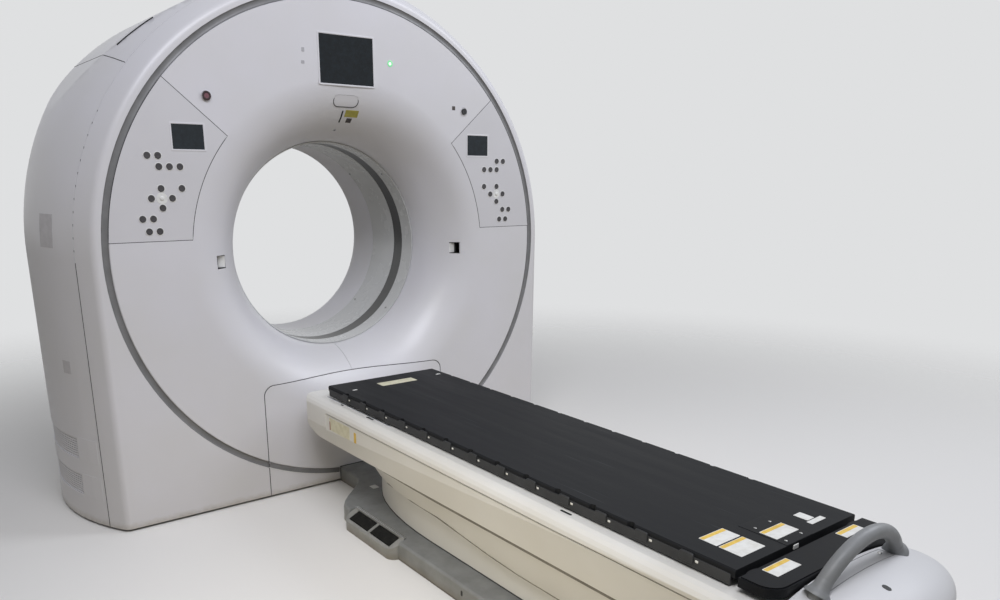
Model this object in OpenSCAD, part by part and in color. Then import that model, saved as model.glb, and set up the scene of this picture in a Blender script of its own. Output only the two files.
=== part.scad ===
// Large-bore medical CT scanner: a ring gantry with its patient couch.
// Millimetres. The origin is on the floor under the isocentre, +Z is up, the bore runs along Y,
// the couch lies towards -Y and stands at its loading height.

/* [Gantry body] */
// Height of the bore axis above the floor
iso_h = 1054; // [1050:1:1090]
// Depth of the gantry, front face to rear face
gantry_d = 900; // [880:5:960]
// Distance from the front face back to the scan plane
scan_back = 370; // [365:1:376]
// Half width of the body at its front and rear faces
face_half_w = 1048; // [1044:1:1060]
// Half width of the body at its middle, where it bulges most
mid_half_w = 1186; // [1160:1:1210]
// Radius of the flatter arc that rounds the roof
roof_r = 1300; // [1285:1:1330]
// How far the centre of the roof arc lies below the bore axis
roof_drop = 218; // [205:1:228]
// Thickness of the moulded covers
skin_t = 6; // [4:0.5:8]
// Depth of the front and rear surrounds, up to the seam with the side covers
surround_d = 80; // [70:1:95]
// Gap at the seams between covers
seam_gap = 2; // [1:0.5:3]
// Gap between the covers and the floor
floor_gap = 10; // [6:1:14]
// Radius of the rounded edge round the front and rear faces
edge_r = 30; // [20:1:32]
// Angle above horizontal where the side covers end and the top cover starts
shoulder_a = 39.5; // [36:0.5:42]
// Distance from the front face back to the grip slots in the top cover
slot_back = 250; // [240:2:260]

/* [Bore and funnel] */
// Bore radius
bore_r = 450; // [440:1:455]
// Radius where the flat front face turns into the funnel
funnel_r = 700; // [690:1:712]
// Depth of the funnel, front face to its lip
funnel_d = 300; // [290:1:308]
// Front edge of the bore liner, behind the front face
lip_back = 240; // [225:1:250]
// Front edge of the scan window, behind the front face
window_back = 328; // [322:1:332]
// Width of the scan window along the bore
window_w = 77; // [60:1:80]
// Length of the rear bore liner
rear_liner_l = 213; // [180:1:220]
// Depth and radius growth of the rear funnel
rear_funnel = 100; // [80:1:120]
// Wall of the bore liners
liner_t = 5; // [3:0.5:6]
// Thickness of the scan window film
film_t = 2; // [1:0.5:3]

/* [Ring trim] */
// Radius of the middle of the trim ring
trim_r = 1008; // [1004:1:1012]
// Width of the trim ring
trim_w = 24; // [18:1:28]
// Depth of the hollow along the trim ring
trim_hollow = 5; // [3:0.5:6]

/* [Control panels] */
// Inner radius of the panels
panel_r = 694; // [690:1:704]
// Angle of the upper edge of the panels
panel_a = 41; // [39:0.5:43]
// Height of the lower edge of the panels above the bore axis
panel_low = 71; // [60:1:84]
// Thickness of a panel
panel_t = 5; // [4:0.5:6]
// Radius of a key
key_r = 11.5; // [10:0.25:13]
// Spacing of the keys
key_pitch = 38; // [36:0.5:40]
// How far a key travels when pressed
key_travel = 1.6; // [1:0.1:2]
// How far a pressed key still stands out of its panel
key_proud = 0.8; // [0.4:0.1:1.2]
// Radius of a stop button
stop_r = 13; // [11:0.5:16]
// Width of the small displays
side_disp_w = 120; // [110:1:124]
// Height of the small displays
side_disp_h = 92; // [84:1:98]
// Width of the main display
main_disp_w = 246; // [220:1:260]
// Height of the main display
main_disp_h = 186; // [170:1:195]

/* [Service cover] */
// Half width of the service cover behind the couch
service_half_w = 452; // [440:1:470]
// Height of the top edge of the service cover
service_top = 504; // [490:1:520]
// Radius of its upper corners
service_corner = 46; // [30:1:60]

/* [Side cover vents] */
// Height of each vent
vent_h = 88; // [70:1:100]
// Number of slats in each vent
vent_slats = 9; // [6:1:10]
// Height of the lower edge of the lower vent
vent_low = 118; // [100:1:140]
// Height from one vent to the next
vent_step = 154; // [140:1:180]

/* [Rotor] */
// Outer radius of the rotor plate
rotor_r = 900; // [880:1:910]
// Radius of the bore through the rotor
rotor_bore_r = 482; // [478:1:488]
// Distance from scan plane to the rotor plate
rotor_back = 80; // [70:1:90]
// Thickness of the rotor plate
rotor_t = 22; // [16:1:28]
// Radius of the focal spot from the bore axis
focus_r = 600; // [590:1:610]
// Clearance between the rotor's bore and the detector arc
detector_gap = 28; // [20:1:34]
// Half angle of the detector arc
detector_a = 26; // [22:1:28]
// Distance of the X-ray tube's axis from the bore axis
tube_axis_r = 690; // [684:1:696]
// Radius of the X-ray tube's housing
tube_r = 140; // [134:1:144]
// Length of the X-ray tube's housing
tube_l = 250; // [230:5:260]
// Width of the high-voltage generator along the rotor's radius
generator_w = 220; // [200:2:230]
// Depth of the high-voltage generator
generator_d = 200; // [180:2:210]
// Height of the high-voltage generator
generator_h = 340; // [320:5:360]
// Running gap between rotor and stand
run_gap = 0.5; // [0.3:0.1:1]

/* [Couch top] */
// Height of the tabletop when the couch is down
table_z = 526; // [520:1:534]
// Thickness of the tabletop
table_t = 28; // [24:1:32]
// Half width of the tabletop
table_half_w = 260; // [250:1:264]
// Length of the tabletop
table_l = 1995; // [1900:5:2000]
// Distance from the gantry's front face to the tabletop
table_gap = 218; // [212:1:240]
// Length of the separate foot piece behind the tabletop
foot_l = 95; // [80:1:110]
// Gap between the tabletop and the foot piece
foot_gap = 14; // [10:1:18]
// Spacing of the strap notches along the tabletop
notch_pitch = 138; // [130:1:142]
// Radius of a strap notch
notch_r = 12; // [8:0.5:14]

/* [Couch body] */
// Half width of the couch body
body_half_w = 322; // [316:1:330]
// Height of the couch body from its underside to its deck
body_h = 172; // [164:1:176]
// Height of the gap between deck and tabletop
deck_gap = 18; // [14:1:22]
// Wall of the couch body and skirts
body_t = 7; // [6:0.5:8]
// Distance from the gantry's front face to the nose of the couch body
nose_gap = 100; // [90:1:120]
// Radius under the nose
nose_r = 92; // [70:1:100]
// Distance below the deck of the crease along the body's sides
crease_drop = 40; // [36:1:46]
// Distance from the nose of the couch body to the front end of the crease
crease_back = 206; // [190:2:220]
// Length of the rounded end cap
cap_l = 215; // [190:1:240]
// Half width of the opening that the carriage runs in
channel_half_w = 190; // [180:1:200]

/* [Lift and base] */
// Height of the grey base
base_h = 70; // [60:1:80]
// Half width of the base
base_half_w = 312; // [306:1:316]
// Half width of the neck that meets the gantry
neck_half_w = 112; // [90:1:130]
// Length of the base from the gantry
base_l = 2240; // [2150:5:2280]
// Half width of the outermost telescopic skirt
skirt_half_w = 213; // [206:1:218]
// Distance from the nose of the couch body back to the tip of the skirts
skirt_back = 190; // [180:1:200]
// Length of the skirts' rounded nose
skirt_nose_l = 600; // [560:5:630]
// Step in width from one skirt to the next
skirt_step = 16; // [14:1:18]
// Wall of a skirt
skirt_t = 4; // [3:0.5:5]
// Half width of the flared valance at its lower edge
valance_w = 250; // [244:1:254]
// Half width of the valance where it meets the couch body
valance_top_w = 277; // [272:1:279]
// Height of the valance's lower edge towards the gantry
valance_z = 215; // [205:1:225]
// Height of its lower edge towards the far end
valance_low = 168; // [160:1:180]
// Distance from the gantry's front face to the lift columns
column_back = 1180; // [1140:5:1220]
// Width of the outer lift column
column_w = 200; // [190:1:206]
// Length of the outer lift column
column_l = 520; // [500:5:540]

/* [Pedals] */
// Distance from the gantry's front face to the pedal tray
tray_back = 460; // [440:5:500]
// How far the pedal tray stands out of the base
tray_out = 33; // [28:1:38]
// Width of the pedal tray
tray_w = 84; // [80:1:90]
// Height of the pedal tray's outer wall
tray_low = 44; // [40:1:48]
// Height of the pedal tray's inner ridge
tray_high = 76; // [74:1:80]
// Length of one pedal
pedal_l = 148; // [140:1:152]
// Width of one pedal
pedal_w = 47; // [44:1:48]
// Thickness of a pedal
pedal_t = 10; // [8:0.5:11]
// Slope of the pedals at rest
pedal_slope = 24; // [20:1:26]

/* [Hidden] */
$fn = 96;
eps = 1;
fit = 0.3;
skin_n = 12;
funnel_n = 12;
edge_n = 5;
front_y = -scan_back;
rear_y = front_y + gantry_d;
mid_y = front_y + gantry_d / 2;
seam_y = front_y + surround_d;
rear_seam_y = rear_y - surround_d;
skin_sag = mid_half_w - face_half_w;
skin_arc_r = (pow(gantry_d / 2, 2) + pow(skin_sag, 2)) / (2 * skin_sag);
window_y0 = front_y + window_back;
window_y1 = window_y0 + window_w;
close_gap = 0.8;
rear_liner_y1 = window_y1 + rear_liner_l;
lip_y = front_y + lip_back;
trim_gap = 0.5;
disc_r = trim_r - trim_w / 2 - trim_gap;
surround_r = trim_r + trim_w / 2 + trim_gap;
rear_disc_r = trim_r;
flange_d = 34;
face_t = skin_t + panel_t;
funnel_h = funnel_r - bore_r;
display_t = 8;
ledge_w = 14;
key_gap = 0.4;
key_flange = 2;
key_skirt_t = 3;
key_out = key_travel + key_proud;
keys = [[2, 309], [3, 309], [0, 270], [1, 270], [2, 270], [0, 192], [2, 192], [1, 156.5], [3, 156.5],
        [2, 121.5], [3, 83], [4, 83], [2.5, 37], [3.5, 37]];
key_x0 = 20;
vent_y0 = seam_y + 24;
vent_y1 = rear_seam_y - 70;
deck_z = table_z - table_t - deck_gap;
body_z0 = deck_z - body_h;
nose_y = front_y - nose_gap;
table_y1 = front_y - table_gap;
table_y0 = table_y1 - table_l;
foot_y1 = table_y0 - foot_gap;
foot_y0 = foot_y1 - foot_l;
cap_y1 = foot_y0 - 6;
cap_y0 = cap_y1 - cap_l;
body_y0 = cap_y1 + seam_gap;
base_y0 = front_y - base_l;
base_y1 = front_y - fit;
skirt_y1 = nose_y - skirt_back;
skirt_y0 = base_y0 + 60;

// Radius of the body's skin at depth y, moved inwards by t
function skin_at(y, t) = mid_half_w - skin_arc_r + sqrt(pow(skin_arc_r - t, 2) - pow(y - mid_y, 2));

// Points [radius, y] along the skin from y0 to y1
function skin_line(y0, y1, t) =
    [for (i = [0:skin_n]) let (y = y0 + (y1 - y0) * i / skin_n) [skin_at(y, t), y]];

// Points [radius, y] down the funnel, an elliptical quarter, moved back by t
function funnel_line(t) =
    [for (i = [0:funnel_n]) let (a = 90 * i / funnel_n)
        [funnel_r + t * 0.2 - (funnel_h - t * 0.8) * sin(a), front_y + funnel_d - (funnel_d - t) * cos(a)]];

function flip(list) = [for (i = [len(list) - 1:-1:0]) list[i]];

// Closed outline from its +X side and the mirror image of it
function both_sides(side) = concat(side, [for (p = flip(side)) [-p[0], p[1]]]);

// Turns a section [radius, y] about the bore axis, from a0 to a1 anticlockwise seen from the front
module turn(section, a0 = 0, a1 = 360)
    translate([0, 0, iso_h]) rotate([90, 0, 0]) rotate([0, 0, a0])
        rotate_extrude(angle = a1 - a0) polygon([for (p = section) [p[0], -p[1]]]);

module ring(r0, r1, y0, y1, a0 = 0, a1 = 360)
    turn([[r0, y0], [r1, y0], [r1, y1], [r0, y1]], a0, a1);

// Extrudes a front view [x, z] from y0 to y1
module slab(y0, y1) translate([0, y1, 0]) rotate([90, 0, 0]) linear_extrude(y1 - y0) children();

module disc_2d(r) translate([0, iso_h]) circle(r);

// Extrudes a side view [y, z] across x from x0 to x1
module cross_slab(x0, x1)
    translate([x0, 0, 0]) rotate([90, 0, 90]) linear_extrude(x1 - x0) children();

module mirrored() { children(); mirror([1, 0, 0]) children(); }

// Solid between stacked outlines; each is given by its +X side, from front to rear
module loft(sides, heights) {
    n = len(sides[0]);
    m = 2 * n;
    top = m * (len(heights) - 1);
    lid = [for (i = [0:n - 2]) [i, i + 1, m - 2 - i, m - 1 - i]];
    polyhedron(
        [for (k = [0:len(heights) - 1], p = both_sides(sides[k])) [p[0], p[1], heights[k]]],
        concat(
            [for (face = lid) flip(face)],
            [for (face = lid) [for (j = face) j + top]],
            [for (k = [0:len(heights) - 2], i = [0:m - 1], half = [0:1]) let (
                    a = m * k + i, b = m * k + (i + 1) % m)
                half == 0 ? [a, b, b + m] : [a, b + m, a + m]]));
}

// Solid under the roof arc
module roof(t, y0, y1) translate([0, 0, -roof_drop])
    turn([[0, y0], [roof_r - t, y0], [roof_r - t, y1], [0, y1]], 0, 180);

// Section of the body from its axis out to the skin; an edge of radius r runs out tangent to the skin
function fill_section(y0, y1, t, r) = let (
        end_a = asin((mid_y - y0 - r) / (skin_arc_r - t - r)),
        centre = [skin_at(y0 + r, t + r), y0 + r])
    concat(
        [[0, y0]],
        r > 0 ? [for (i = [0:edge_n - 1]) let (a = 90 - (90 - end_a) * i / edge_n)
            centre + r * [cos(a), -sin(a)]] : [],
        skin_line(y0 + r * (1 - sin(end_a)), y1, t),
        [[0, y1]]);

// The body's full section between two depths: half round above the bore axis, straight sides below
module body_fill(section, t, low) {
    ys = [for (p = section) p[1]];
    intersection() {
        turn(section, 0, 180);
        roof(t, min(ys), max(ys));
    }
    mirrored() translate([0, 0, low]) linear_extrude(iso_h - low) polygon(section);
}

// Keeps what lies above the gap under the covers
module above_floor() intersection() {
    children();
    translate([-2 * mid_half_w, -2 * gantry_d, floor_gap]) cube([4 * mid_half_w, 4 * gantry_d, 3 * iso_h]);
}

// One surround shell with its face plate; the hole for the round cover has radius hole_r
module surround(hole_r) {
    difference() {
        body_fill(fill_section(front_y, seam_y, 0, edge_r), 0, floor_gap);
        body_fill(fill_section(front_y + skin_t, seam_y + eps, skin_t, edge_r - skin_t),
            skin_t, floor_gap - eps);
        slab(front_y - eps, seam_y) disc_2d(hole_r);
    }
    above_floor() ring(hole_r, hole_r + skin_t, front_y, front_y + flange_d);
}

module rounded_rect(x0, x1, z0, z1, r) {
    translate([x0 + r, z0]) square([x1 - x0 - 2 * r, z1 - z0]);
    translate([x0, z0 + r]) square([x1 - x0, z1 - z0 - 2 * r]);
    for (x = [x0 + r, x1 - r], z = [z0 + r, z1 - r]) translate([x, z]) circle(r);
}

// Front view of the service cover, grown by g
module service_2d(g) rounded_rect(
    -service_half_w - g, service_half_w + g, iso_h - 2 * mid_half_w, service_top + g, service_corner);

module service_prism(g) slab(front_y - eps, front_y + funnel_d / 2) service_2d(g);

// Front view of the control panel on the +X side, grown by g
module panel_2d(g) translate([0, iso_h]) intersection() {
    difference() {
        circle(disc_r + min(g, 0));
        circle(panel_r - g);
    }
    polygon([[panel_r / 3, panel_low - g], [mid_half_w, panel_low - g],
        mid_half_w * [cos(panel_a), sin(panel_a)] + g * [-sin(panel_a), cos(panel_a)],
        panel_r / 3 * [cos(panel_a), sin(panel_a)] + g * [-sin(panel_a), cos(panel_a)]]);
}

function key_at(i) = [panel_r + key_x0 + key_pitch * keys[i][0], iso_h + panel_low + keys[i][1]];

side_disp_x0 = panel_r - 80;
side_disp_z0 = iso_h + panel_low + 331;
stop_at = [594, iso_h + 596];
lamp_at = [206, iso_h + 770];
main_disp_z0 = iso_h + 673;
intercom_z = iso_h + 611;
intercom_half_w = 56;
intercom_r = 21.5;
laser_at = [572, iso_h - 24];
laser_w = 42;
laser_h = 52;
laser_y0 = front_y + 62;

module side_disp_2d(g) translate([side_disp_x0 - g, side_disp_z0 - g])
    square([side_disp_w + 2 * g, side_disp_h + 2 * g]);

module main_disp_2d(g) translate([-main_disp_w / 2 - g, main_disp_z0 - g])
    square([main_disp_w + 2 * g, main_disp_h + 2 * g]);

module intercom_2d(g) {
    for (s = [-1, 1]) translate([s * (intercom_half_w - intercom_r), intercom_z]) circle(intercom_r + g);
    translate([intercom_r - intercom_half_w, intercom_z - intercom_r - g])
        square([2 * (intercom_half_w - intercom_r), 2 * (intercom_r + g)]);
}

module laser_2d(g) translate(laser_at - [laser_w / 2 + g, laser_h / 2 + g])
    square([laser_w + 2 * g, laser_h + 2 * g]);

// The round front moulding with its funnel, before anything is cut out of it
module front_disc() {
    liner_out_r = bore_r + liner_t + fit;
    turn(concat(
        [[disc_r, front_y + 3], [disc_r - 3, front_y]],
        [for (p = funnel_line(0)) [max(p[0], liner_out_r), p[1]]],
        [for (p = flip(funnel_line(skin_t))) [max(p[0], liner_out_r + skin_t), p[1]]],
        [[funnel_r + face_t, front_y + face_t], [disc_r - skin_t, front_y + face_t],
         [disc_r - skin_t, front_y + flange_d], [disc_r, front_y + flange_d]]));
}

module front_cover() color("white") difference() {
    above_floor() front_disc();
    service_prism(seam_gap / 2);
    // Split of the funnel below the bore
    translate([-0.7, front_y - eps, service_top - eps])
        cube([1.4, funnel_d + 2 * eps, iso_h - bore_r - service_top + 12]);
    mirrored() {
        slab(front_y - eps, front_y + panel_t) panel_2d(0.8);
        slab(front_y - eps, front_y + face_t + eps) panel_2d(-ledge_w);
        slab(front_y - eps, front_y + face_t + eps) translate(stop_at) circle(stop_r + key_gap);
        slab(front_y - eps, laser_y0 + 40) laser_2d(0.6);
    }
    slab(front_y - eps, front_y + face_t + eps) main_disp_2d(0.6);
    slab(front_y - eps, front_y + face_t + eps) translate(lamp_at) circle(6.3);
    slab(front_y - eps, front_y + funnel_d / 2) intercom_2d(0.8);
}

module front_surround() color("white") difference() {
    surround(surround_r);
    service_prism(seam_gap / 2);
}

// Hollow grey trim between the round cover and the surround
module ring_trim() color("slategray") difference() {
    r0 = trim_r - trim_w / 2;
    r1 = trim_r + trim_w / 2;
    above_floor() turn(concat(
        [[r0, front_y + 1]],
        [for (i = [1:7]) let (a = 180 * i / 8)
            [trim_r - (trim_w / 2 - 1) * cos(a), front_y + 1 + trim_hollow * sin(a)]],
        [[r1, front_y + 1], [r1, front_y + 16], [r0, front_y + 16]]));
    service_prism(seam_gap / 2);
}

module service_cover() color("white") above_floor() intersection() {
    union() {
        front_disc();
        surround(surround_r);
        ring(disc_r - eps, surround_r + eps, front_y + trim_hollow, front_y + trim_hollow + skin_t);
    }
    service_prism(-seam_gap / 2);
}

side_y0 = seam_y + seam_gap;
side_y1 = rear_seam_y - seam_gap;
shoulder_gap = atan(0.4 * seam_gap / mid_half_w);

function side_section(y0, y1, t0, t1) = concat(skin_line(y0, y1, t0), flip(skin_line(y0, y1, t1)));

// Shell of the body's skin above the bore axis, between two angles
module skin_shell(a0, a1) difference() {
    $fn = 180;
    intersection() {
        turn(fill_section(side_y0, side_y1, 0, 0), a0, a1);
        roof(0, side_y0 - eps, side_y1 + eps);
    }
    intersection() {
        turn(fill_section(side_y0 - eps, side_y1 + eps, skin_t, 0), a0 - 3, a1 + 3);
        roof(skin_t, side_y0 - 2 * eps, side_y1 + 2 * eps);
    }
}

vent_cut_y = 64;
vent_cut_z = 34;
slat_share = 0.72;

// Side view of a vent whose upper front corner is cut off aslant
module vent_2d(z) polygon([[vent_y0, z], [vent_y1, z], [vent_y1, z + vent_h],
    [vent_y0 + vent_cut_y, z + vent_h], [vent_y0, z + vent_h - vent_cut_z]]);

module side_cover() {
    difference() {
        union() {
            skin_shell(0, shoulder_a - shoulder_gap);
            translate([0, 0, floor_gap]) linear_extrude(iso_h - floor_gap)
                polygon(side_section(side_y0, side_y1, 0, skin_t));
        }
        for (k = [0:1]) cross_slab(face_half_w, mid_half_w + eps) vent_2d(vent_low + k * vent_step);
    }
    pitch = vent_h / vent_slats;
    for (k = [0:1], i = [0:vent_slats - 1])
        translate([0, 0, vent_low + k * vent_step + pitch * (i + (1 - slat_share) / 2)])
            linear_extrude(pitch * slat_share)
                polygon(side_section(vent_y0 - 4, vent_y1 + 4, skin_t / 2, skin_t));
}

module right_side_cover() color("white") side_cover();
module left_side_cover() color("white") mirror([1, 0, 0]) side_cover();

slot_y = front_y + slot_back;

module top_cover() color("white") difference() {
    skin_shell(shoulder_a, 180 - shoulder_a);
    // Long grip slots in the shoulders
    mirrored() ring(trim_r, mid_half_w + skin_t, slot_y - 8, slot_y + 8, shoulder_a + 4, shoulder_a + 14);
}

module rear_surround() color("white")
    translate([0, 2 * mid_y, 0]) mirror([0, 1, 0]) surround(rear_disc_r + close_gap);

module rear_cover() color("white") {
    flare = [for (i = [0:8]) let (a = 90 * i / 8)
        [bore_r + rear_funnel * (1 - cos(a)), rear_y - rear_funnel * (1 - sin(a))]];
    flare_out = [for (i = [0:8]) let (a = 90 * i / 8)
        [bore_r + skin_t + (rear_funnel - skin_t) * (1 - cos(a)) + skin_t * sin(a) * 0.2,
         rear_y - skin_t - (rear_funnel - skin_t) * (1 - sin(a))]];
    above_floor() turn(concat(
        [[bore_r, rear_liner_y1 + close_gap]], flare,
        [[rear_disc_r, rear_y], [rear_disc_r, rear_y - flange_d], [rear_disc_r - skin_t, rear_y - flange_d],
         [rear_disc_r - skin_t, rear_y - skin_t]],
        flip(flare_out),
        [[bore_r + skin_t, rear_liner_y1 + close_gap]]));
}

module front_liner() color("whitesmoke") ring(bore_r, bore_r + liner_t, lip_y, window_y0 - fit);

module scan_window() color("darkslategray")
    ring(bore_r + 1, bore_r + 1 + film_t, window_y0, window_y1);

module rear_liner() color("whitesmoke")
    ring(bore_r, bore_r + liner_t, window_y1 + fit, rear_liner_y1);

module left_panel() color("whitesmoke") mirror([1, 0, 0]) difference() {
    slab(front_y, front_y + panel_t) panel_2d(0);
    for (i = [0:len(keys) - 1])
        slab(front_y - eps, front_y + panel_t + eps) translate(key_at(i)) circle(key_r + key_gap);
    slab(front_y - eps, front_y + panel_t + eps) side_disp_2d(0.6);
}

module key(i) {
    slab(front_y - key_out, front_y + panel_t + fit + eps) translate(key_at(i)) circle(key_r);
    slab(front_y + panel_t + fit, front_y + panel_t + key_skirt_t)
        translate(key_at(i)) circle(key_r + key_flange);
}

module left_key(i) color("dimgray") mirror([1, 0, 0]) key(i);

module side_display() slab(front_y + 0.5, front_y + display_t) side_disp_2d(0);

module right_panel() color("whitesmoke") {
    slab(front_y, front_y + panel_t) panel_2d(0);
    for (i = [0:len(keys) - 1])
        slab(front_y - key_out, front_y + eps) translate(key_at(i)) circle(key_r);
    slab(front_y - 0.5, front_y + eps) side_disp_2d(-1);
}

module left_display() color("black") mirror([1, 0, 0]) side_display();
module main_display() color("black") slab(front_y + 0.5, front_y + face_t) main_disp_2d(0);

module laser_windows() color("black") mirrored() slab(laser_y0, laser_y0 + 24) laser_2d(0);

module intercom_cover() color("whitesmoke") intersection() {
    front_disc();
    slab(front_y - eps, front_y + funnel_d / 2) intercom_2d(0);
}

module status_lamp() color("limegreen") slab(front_y - 1, front_y + face_t) translate(lamp_at) circle(6);

stop_travel = 4;
stop_out = stop_travel + 3;

module stop_button() {
    slab(front_y - stop_out, front_y + face_t + eps) translate(stop_at) circle(stop_r);
    slab(front_y + face_t + fit, front_y + face_t + 4) translate(stop_at) circle(stop_r + 4);
}
module left_stop_button() color("darkred") mirror([1, 0, 0]) stop_button();
module right_stop_button() color("black") stop_button();

// Stand of the gantry: an upright plate that holds the bearing, on two floor rails
frame_y0 = rotor_back + rotor_t + 18;
frame_t = 54;
frame_r = 960;
frame_half_w = 820;
bearing_r = 590;
hub_r = 520;
hub_y1 = 250;
bearing_y0 = frame_y0 - 8;
bearing_w = 70;
foot_h = 15;
rail_x = 680;
rail_w = 120;
rail_h = 80;
rail_l = 600;
access_x = 300;
access_z = 165;
access_r = 90;
anchor_y = 240;
anchor_r = 9;
gusset_in = 110;
gusset_h = 240;
post_at = 945;
post_r = 12;
arm_w = 30;
bracket_x = 200;

module gantry_frame() color("dimgray") difference() {
    union() {
        slab(frame_y0, frame_y0 + frame_t) {
            disc_2d(frame_r);
            translate([-frame_half_w, foot_h]) square([2 * frame_half_w, iso_h / 2]);
            // Arms up to the roof
            intersection() {
                for (s = [-1, 1]) translate([s * bracket_x - arm_w / 2, iso_h + frame_r - arm_w * 2])
                    square([arm_w, mid_half_w]);
                translate([0, iso_h - roof_drop]) circle(roof_r - skin_t - close_gap);
            }
        }
        // Posts that carry the front and rear covers outside the rotor's sweep
        for (a = [50, 90, 130, 200, 235, 305, 340])
            slab(front_y + face_t + fit, rear_y - skin_t - fit)
                translate([post_at * cos(a), iso_h + post_at * sin(a)]) circle(post_r);
        mirrored() {
            translate([bracket_x - arm_w / 2, front_y + face_t + fit, iso_h - post_at - arm_w / 2 + 15])
                cube([arm_w, frame_y0 - front_y - face_t, arm_w]);
            // Arms out to the side covers
            for (z = [150, 460]) translate([0, 0, z]) linear_extrude(arm_w) polygon(concat(
                [[frame_half_w - arm_w, frame_y0 + eps]],
                skin_line(frame_y0 + eps, frame_y0 + frame_t - eps, skin_t + close_gap),
                [[frame_half_w - arm_w, frame_y0 + frame_t - eps]]));
        }
        mirrored() {
            translate([rail_x - rail_w / 2, -rail_l / 2, foot_h]) cube([rail_w, rail_l, rail_h]);
            for (s = [-1, 1]) cross_slab(rail_x + s * 35 - 8, rail_x + s * 35 + 8)
                polygon([[gusset_in - rail_l / 2, foot_h + rail_h - eps],
                    [rail_l / 2 - 10, foot_h + rail_h - eps],
                    [frame_y0 + frame_t - eps, foot_h + rail_h + gusset_h],
                    [frame_y0 + eps, foot_h + rail_h + gusset_h]]);
        }
    }
    slab(frame_y0 - eps, frame_y0 + frame_t + eps) {
        disc_2d(bearing_r + 0.1);
        for (s = [-1, 1]) translate([s * access_x, access_z]) circle(access_r);
    }
    mirrored() for (y = [-anchor_y, anchor_y])
        translate([rail_x, y, foot_h - eps]) cylinder(r = anchor_r, h = rail_h + 2 * eps);
}

module leveling_feet() color("gray") mirrored() for (y = [-anchor_y, anchor_y])
    translate([rail_x, y, 0]) difference() {
        union() {
            cylinder(r = 48, h = foot_h - 5);
            cylinder(r = 26, h = foot_h);
        }
        translate([0, 0, -eps]) cylinder(r = anchor_r, h = foot_h + 2 * eps);
    }

module main_bearing() color("silver") ring(hub_r + run_gap, bearing_r, bearing_y0, bearing_y0 + bearing_w);

rotor_y0 = rotor_back;
block_in = 620;
block_out = 800;
block_h = 300;
block_l = 60;
relief_at = 720;
relief_r = 80;

module rotor_drum() color("gray") {
    difference() {
        ring(rotor_bore_r, rotor_r, rotor_y0, rotor_y0 + rotor_t);
        for (a = [38, 142, 218, 322]) translate(relief_at * [cos(a), 0, sin(a)])
            slab(rotor_y0 - eps, rotor_y0 + rotor_t + eps) disc_2d(relief_r);
    }
    ring(rotor_bore_r, hub_r, rotor_y0, hub_y1);
    // Balance block opposite the generator
    translate([block_in, rotor_y0 - block_l, iso_h - block_h / 2])
        cube([block_out - block_in, block_l + eps, block_h]);
}

band_w = 10;
band_l = 50;
tube_nose = 20;

module xray_tube() color("lightsteelblue") translate([0, 0, tube_axis_r]) {
    slab(rotor_y0 - tube_l, rotor_y0) disc_2d(tube_r);
    slab(rotor_y0 - tube_l - tube_nose, rotor_y0 - tube_l + eps) disc_2d(tube_r - 30);
    // Mounting band in the scan plane
    slab(-band_l / 2, band_l / 2) disc_2d(tube_r + band_w);
}

collimator_w = 240;
collimator_h = 40;
collimator_y0 = -45;
beam_w = 180;
beam_l = 16;

// Hangs under the tube's mounting band
module collimator() color("slategray") difference() {
    z0 = iso_h + tube_axis_r - tube_r - band_w - collimator_h;
    translate([-collimator_w / 2, collimator_y0, z0])
        cube([collimator_w, rotor_y0 - collimator_y0, collimator_h]);
    translate([-beam_w / 2, -beam_l / 2, z0 - eps]) cube([beam_w, beam_l, collimator_h + 2 * eps]);
}

detector_r = focus_r + rotor_bore_r + detector_gap;
detector_t = 76;
detector_y0 = -70;

module detector_arc() color("darkgray")
    translate([0, 0, iso_h + focus_r]) rotate([90, 0, 0]) rotate([0, 0, -90 - detector_a])
        rotate_extrude(angle = 2 * detector_a)
            polygon([[detector_r, -rotor_y0], [detector_r + detector_t, -rotor_y0],
                [detector_r + detector_t, -detector_y0], [detector_r, -detector_y0]]);

generator_x0 = -830;
vane_n = 6;
vane_in = 14;

module hv_generator() color("steelblue") difference() {
    pitch = generator_h / (vane_n + 0.5);
    z0 = iso_h - generator_h / 2;
    translate([generator_x0, rotor_y0 - generator_d, z0]) cube([generator_w, generator_d, generator_h]);
    for (i = [0:vane_n - 1])
        translate([generator_x0 - eps, rotor_y0 - generator_d * 0.9, z0 + pitch * (i + 0.5)])
            cube([vane_in + eps, generator_d * 0.75, pitch / 2]);
}

// Half width of the base at depth y behind the gantry: the neck flares out to full width
flare_y0 = front_y - 146;
flare_y1 = front_y - 430;
function flare_w(u) = neck_half_w + (base_half_w - neck_half_w) * u * u * (3 - 2 * u);

function base_side(g) = concat(
    [[neck_half_w - g, base_y1]],
    [for (i = [0:8]) let (u = i / 8) [flare_w(u) - g, flare_y0 + (flare_y1 - flare_y0) * u]],
    [for (i = [0:5]) let (a = 90 * i / 5)
        [base_half_w - 80 - g + 80 * cos(a), base_y0 + 80 + g - 80 * sin(a)]]);

module base_plan(g) polygon(both_sides(base_side(g)));

base_anchor_x = 150;
base_anchor_y0 = base_y0 + 260;
base_anchor_y1 = front_y - 640;
base_wall = 10;
base_round = 12;

tray_y1 = front_y - tray_back;
pedal_rib = 14;
pedal_end = 32;
tray_l = 2 * (pedal_l + pedal_end) + pedal_rib;
tray_y0 = tray_y1 - tray_l;
tray_x0 = -base_half_w - tray_out;
tray_corner = 40;

// Plan of the pedal tray, grown by g
module tray_plan(g) translate([tray_x0, tray_y0]) {
    translate([tray_corner, -g]) square([tray_w - 2 * tray_corner, tray_l + 2 * g]);
    translate([-g, tray_corner]) square([tray_w + 2 * g, tray_l - 2 * tray_corner]);
    for (x = [tray_corner, tray_w - tray_corner], y = [tray_corner, tray_l - tray_corner])
        translate([x, y]) circle(tray_corner + g);
}

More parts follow.
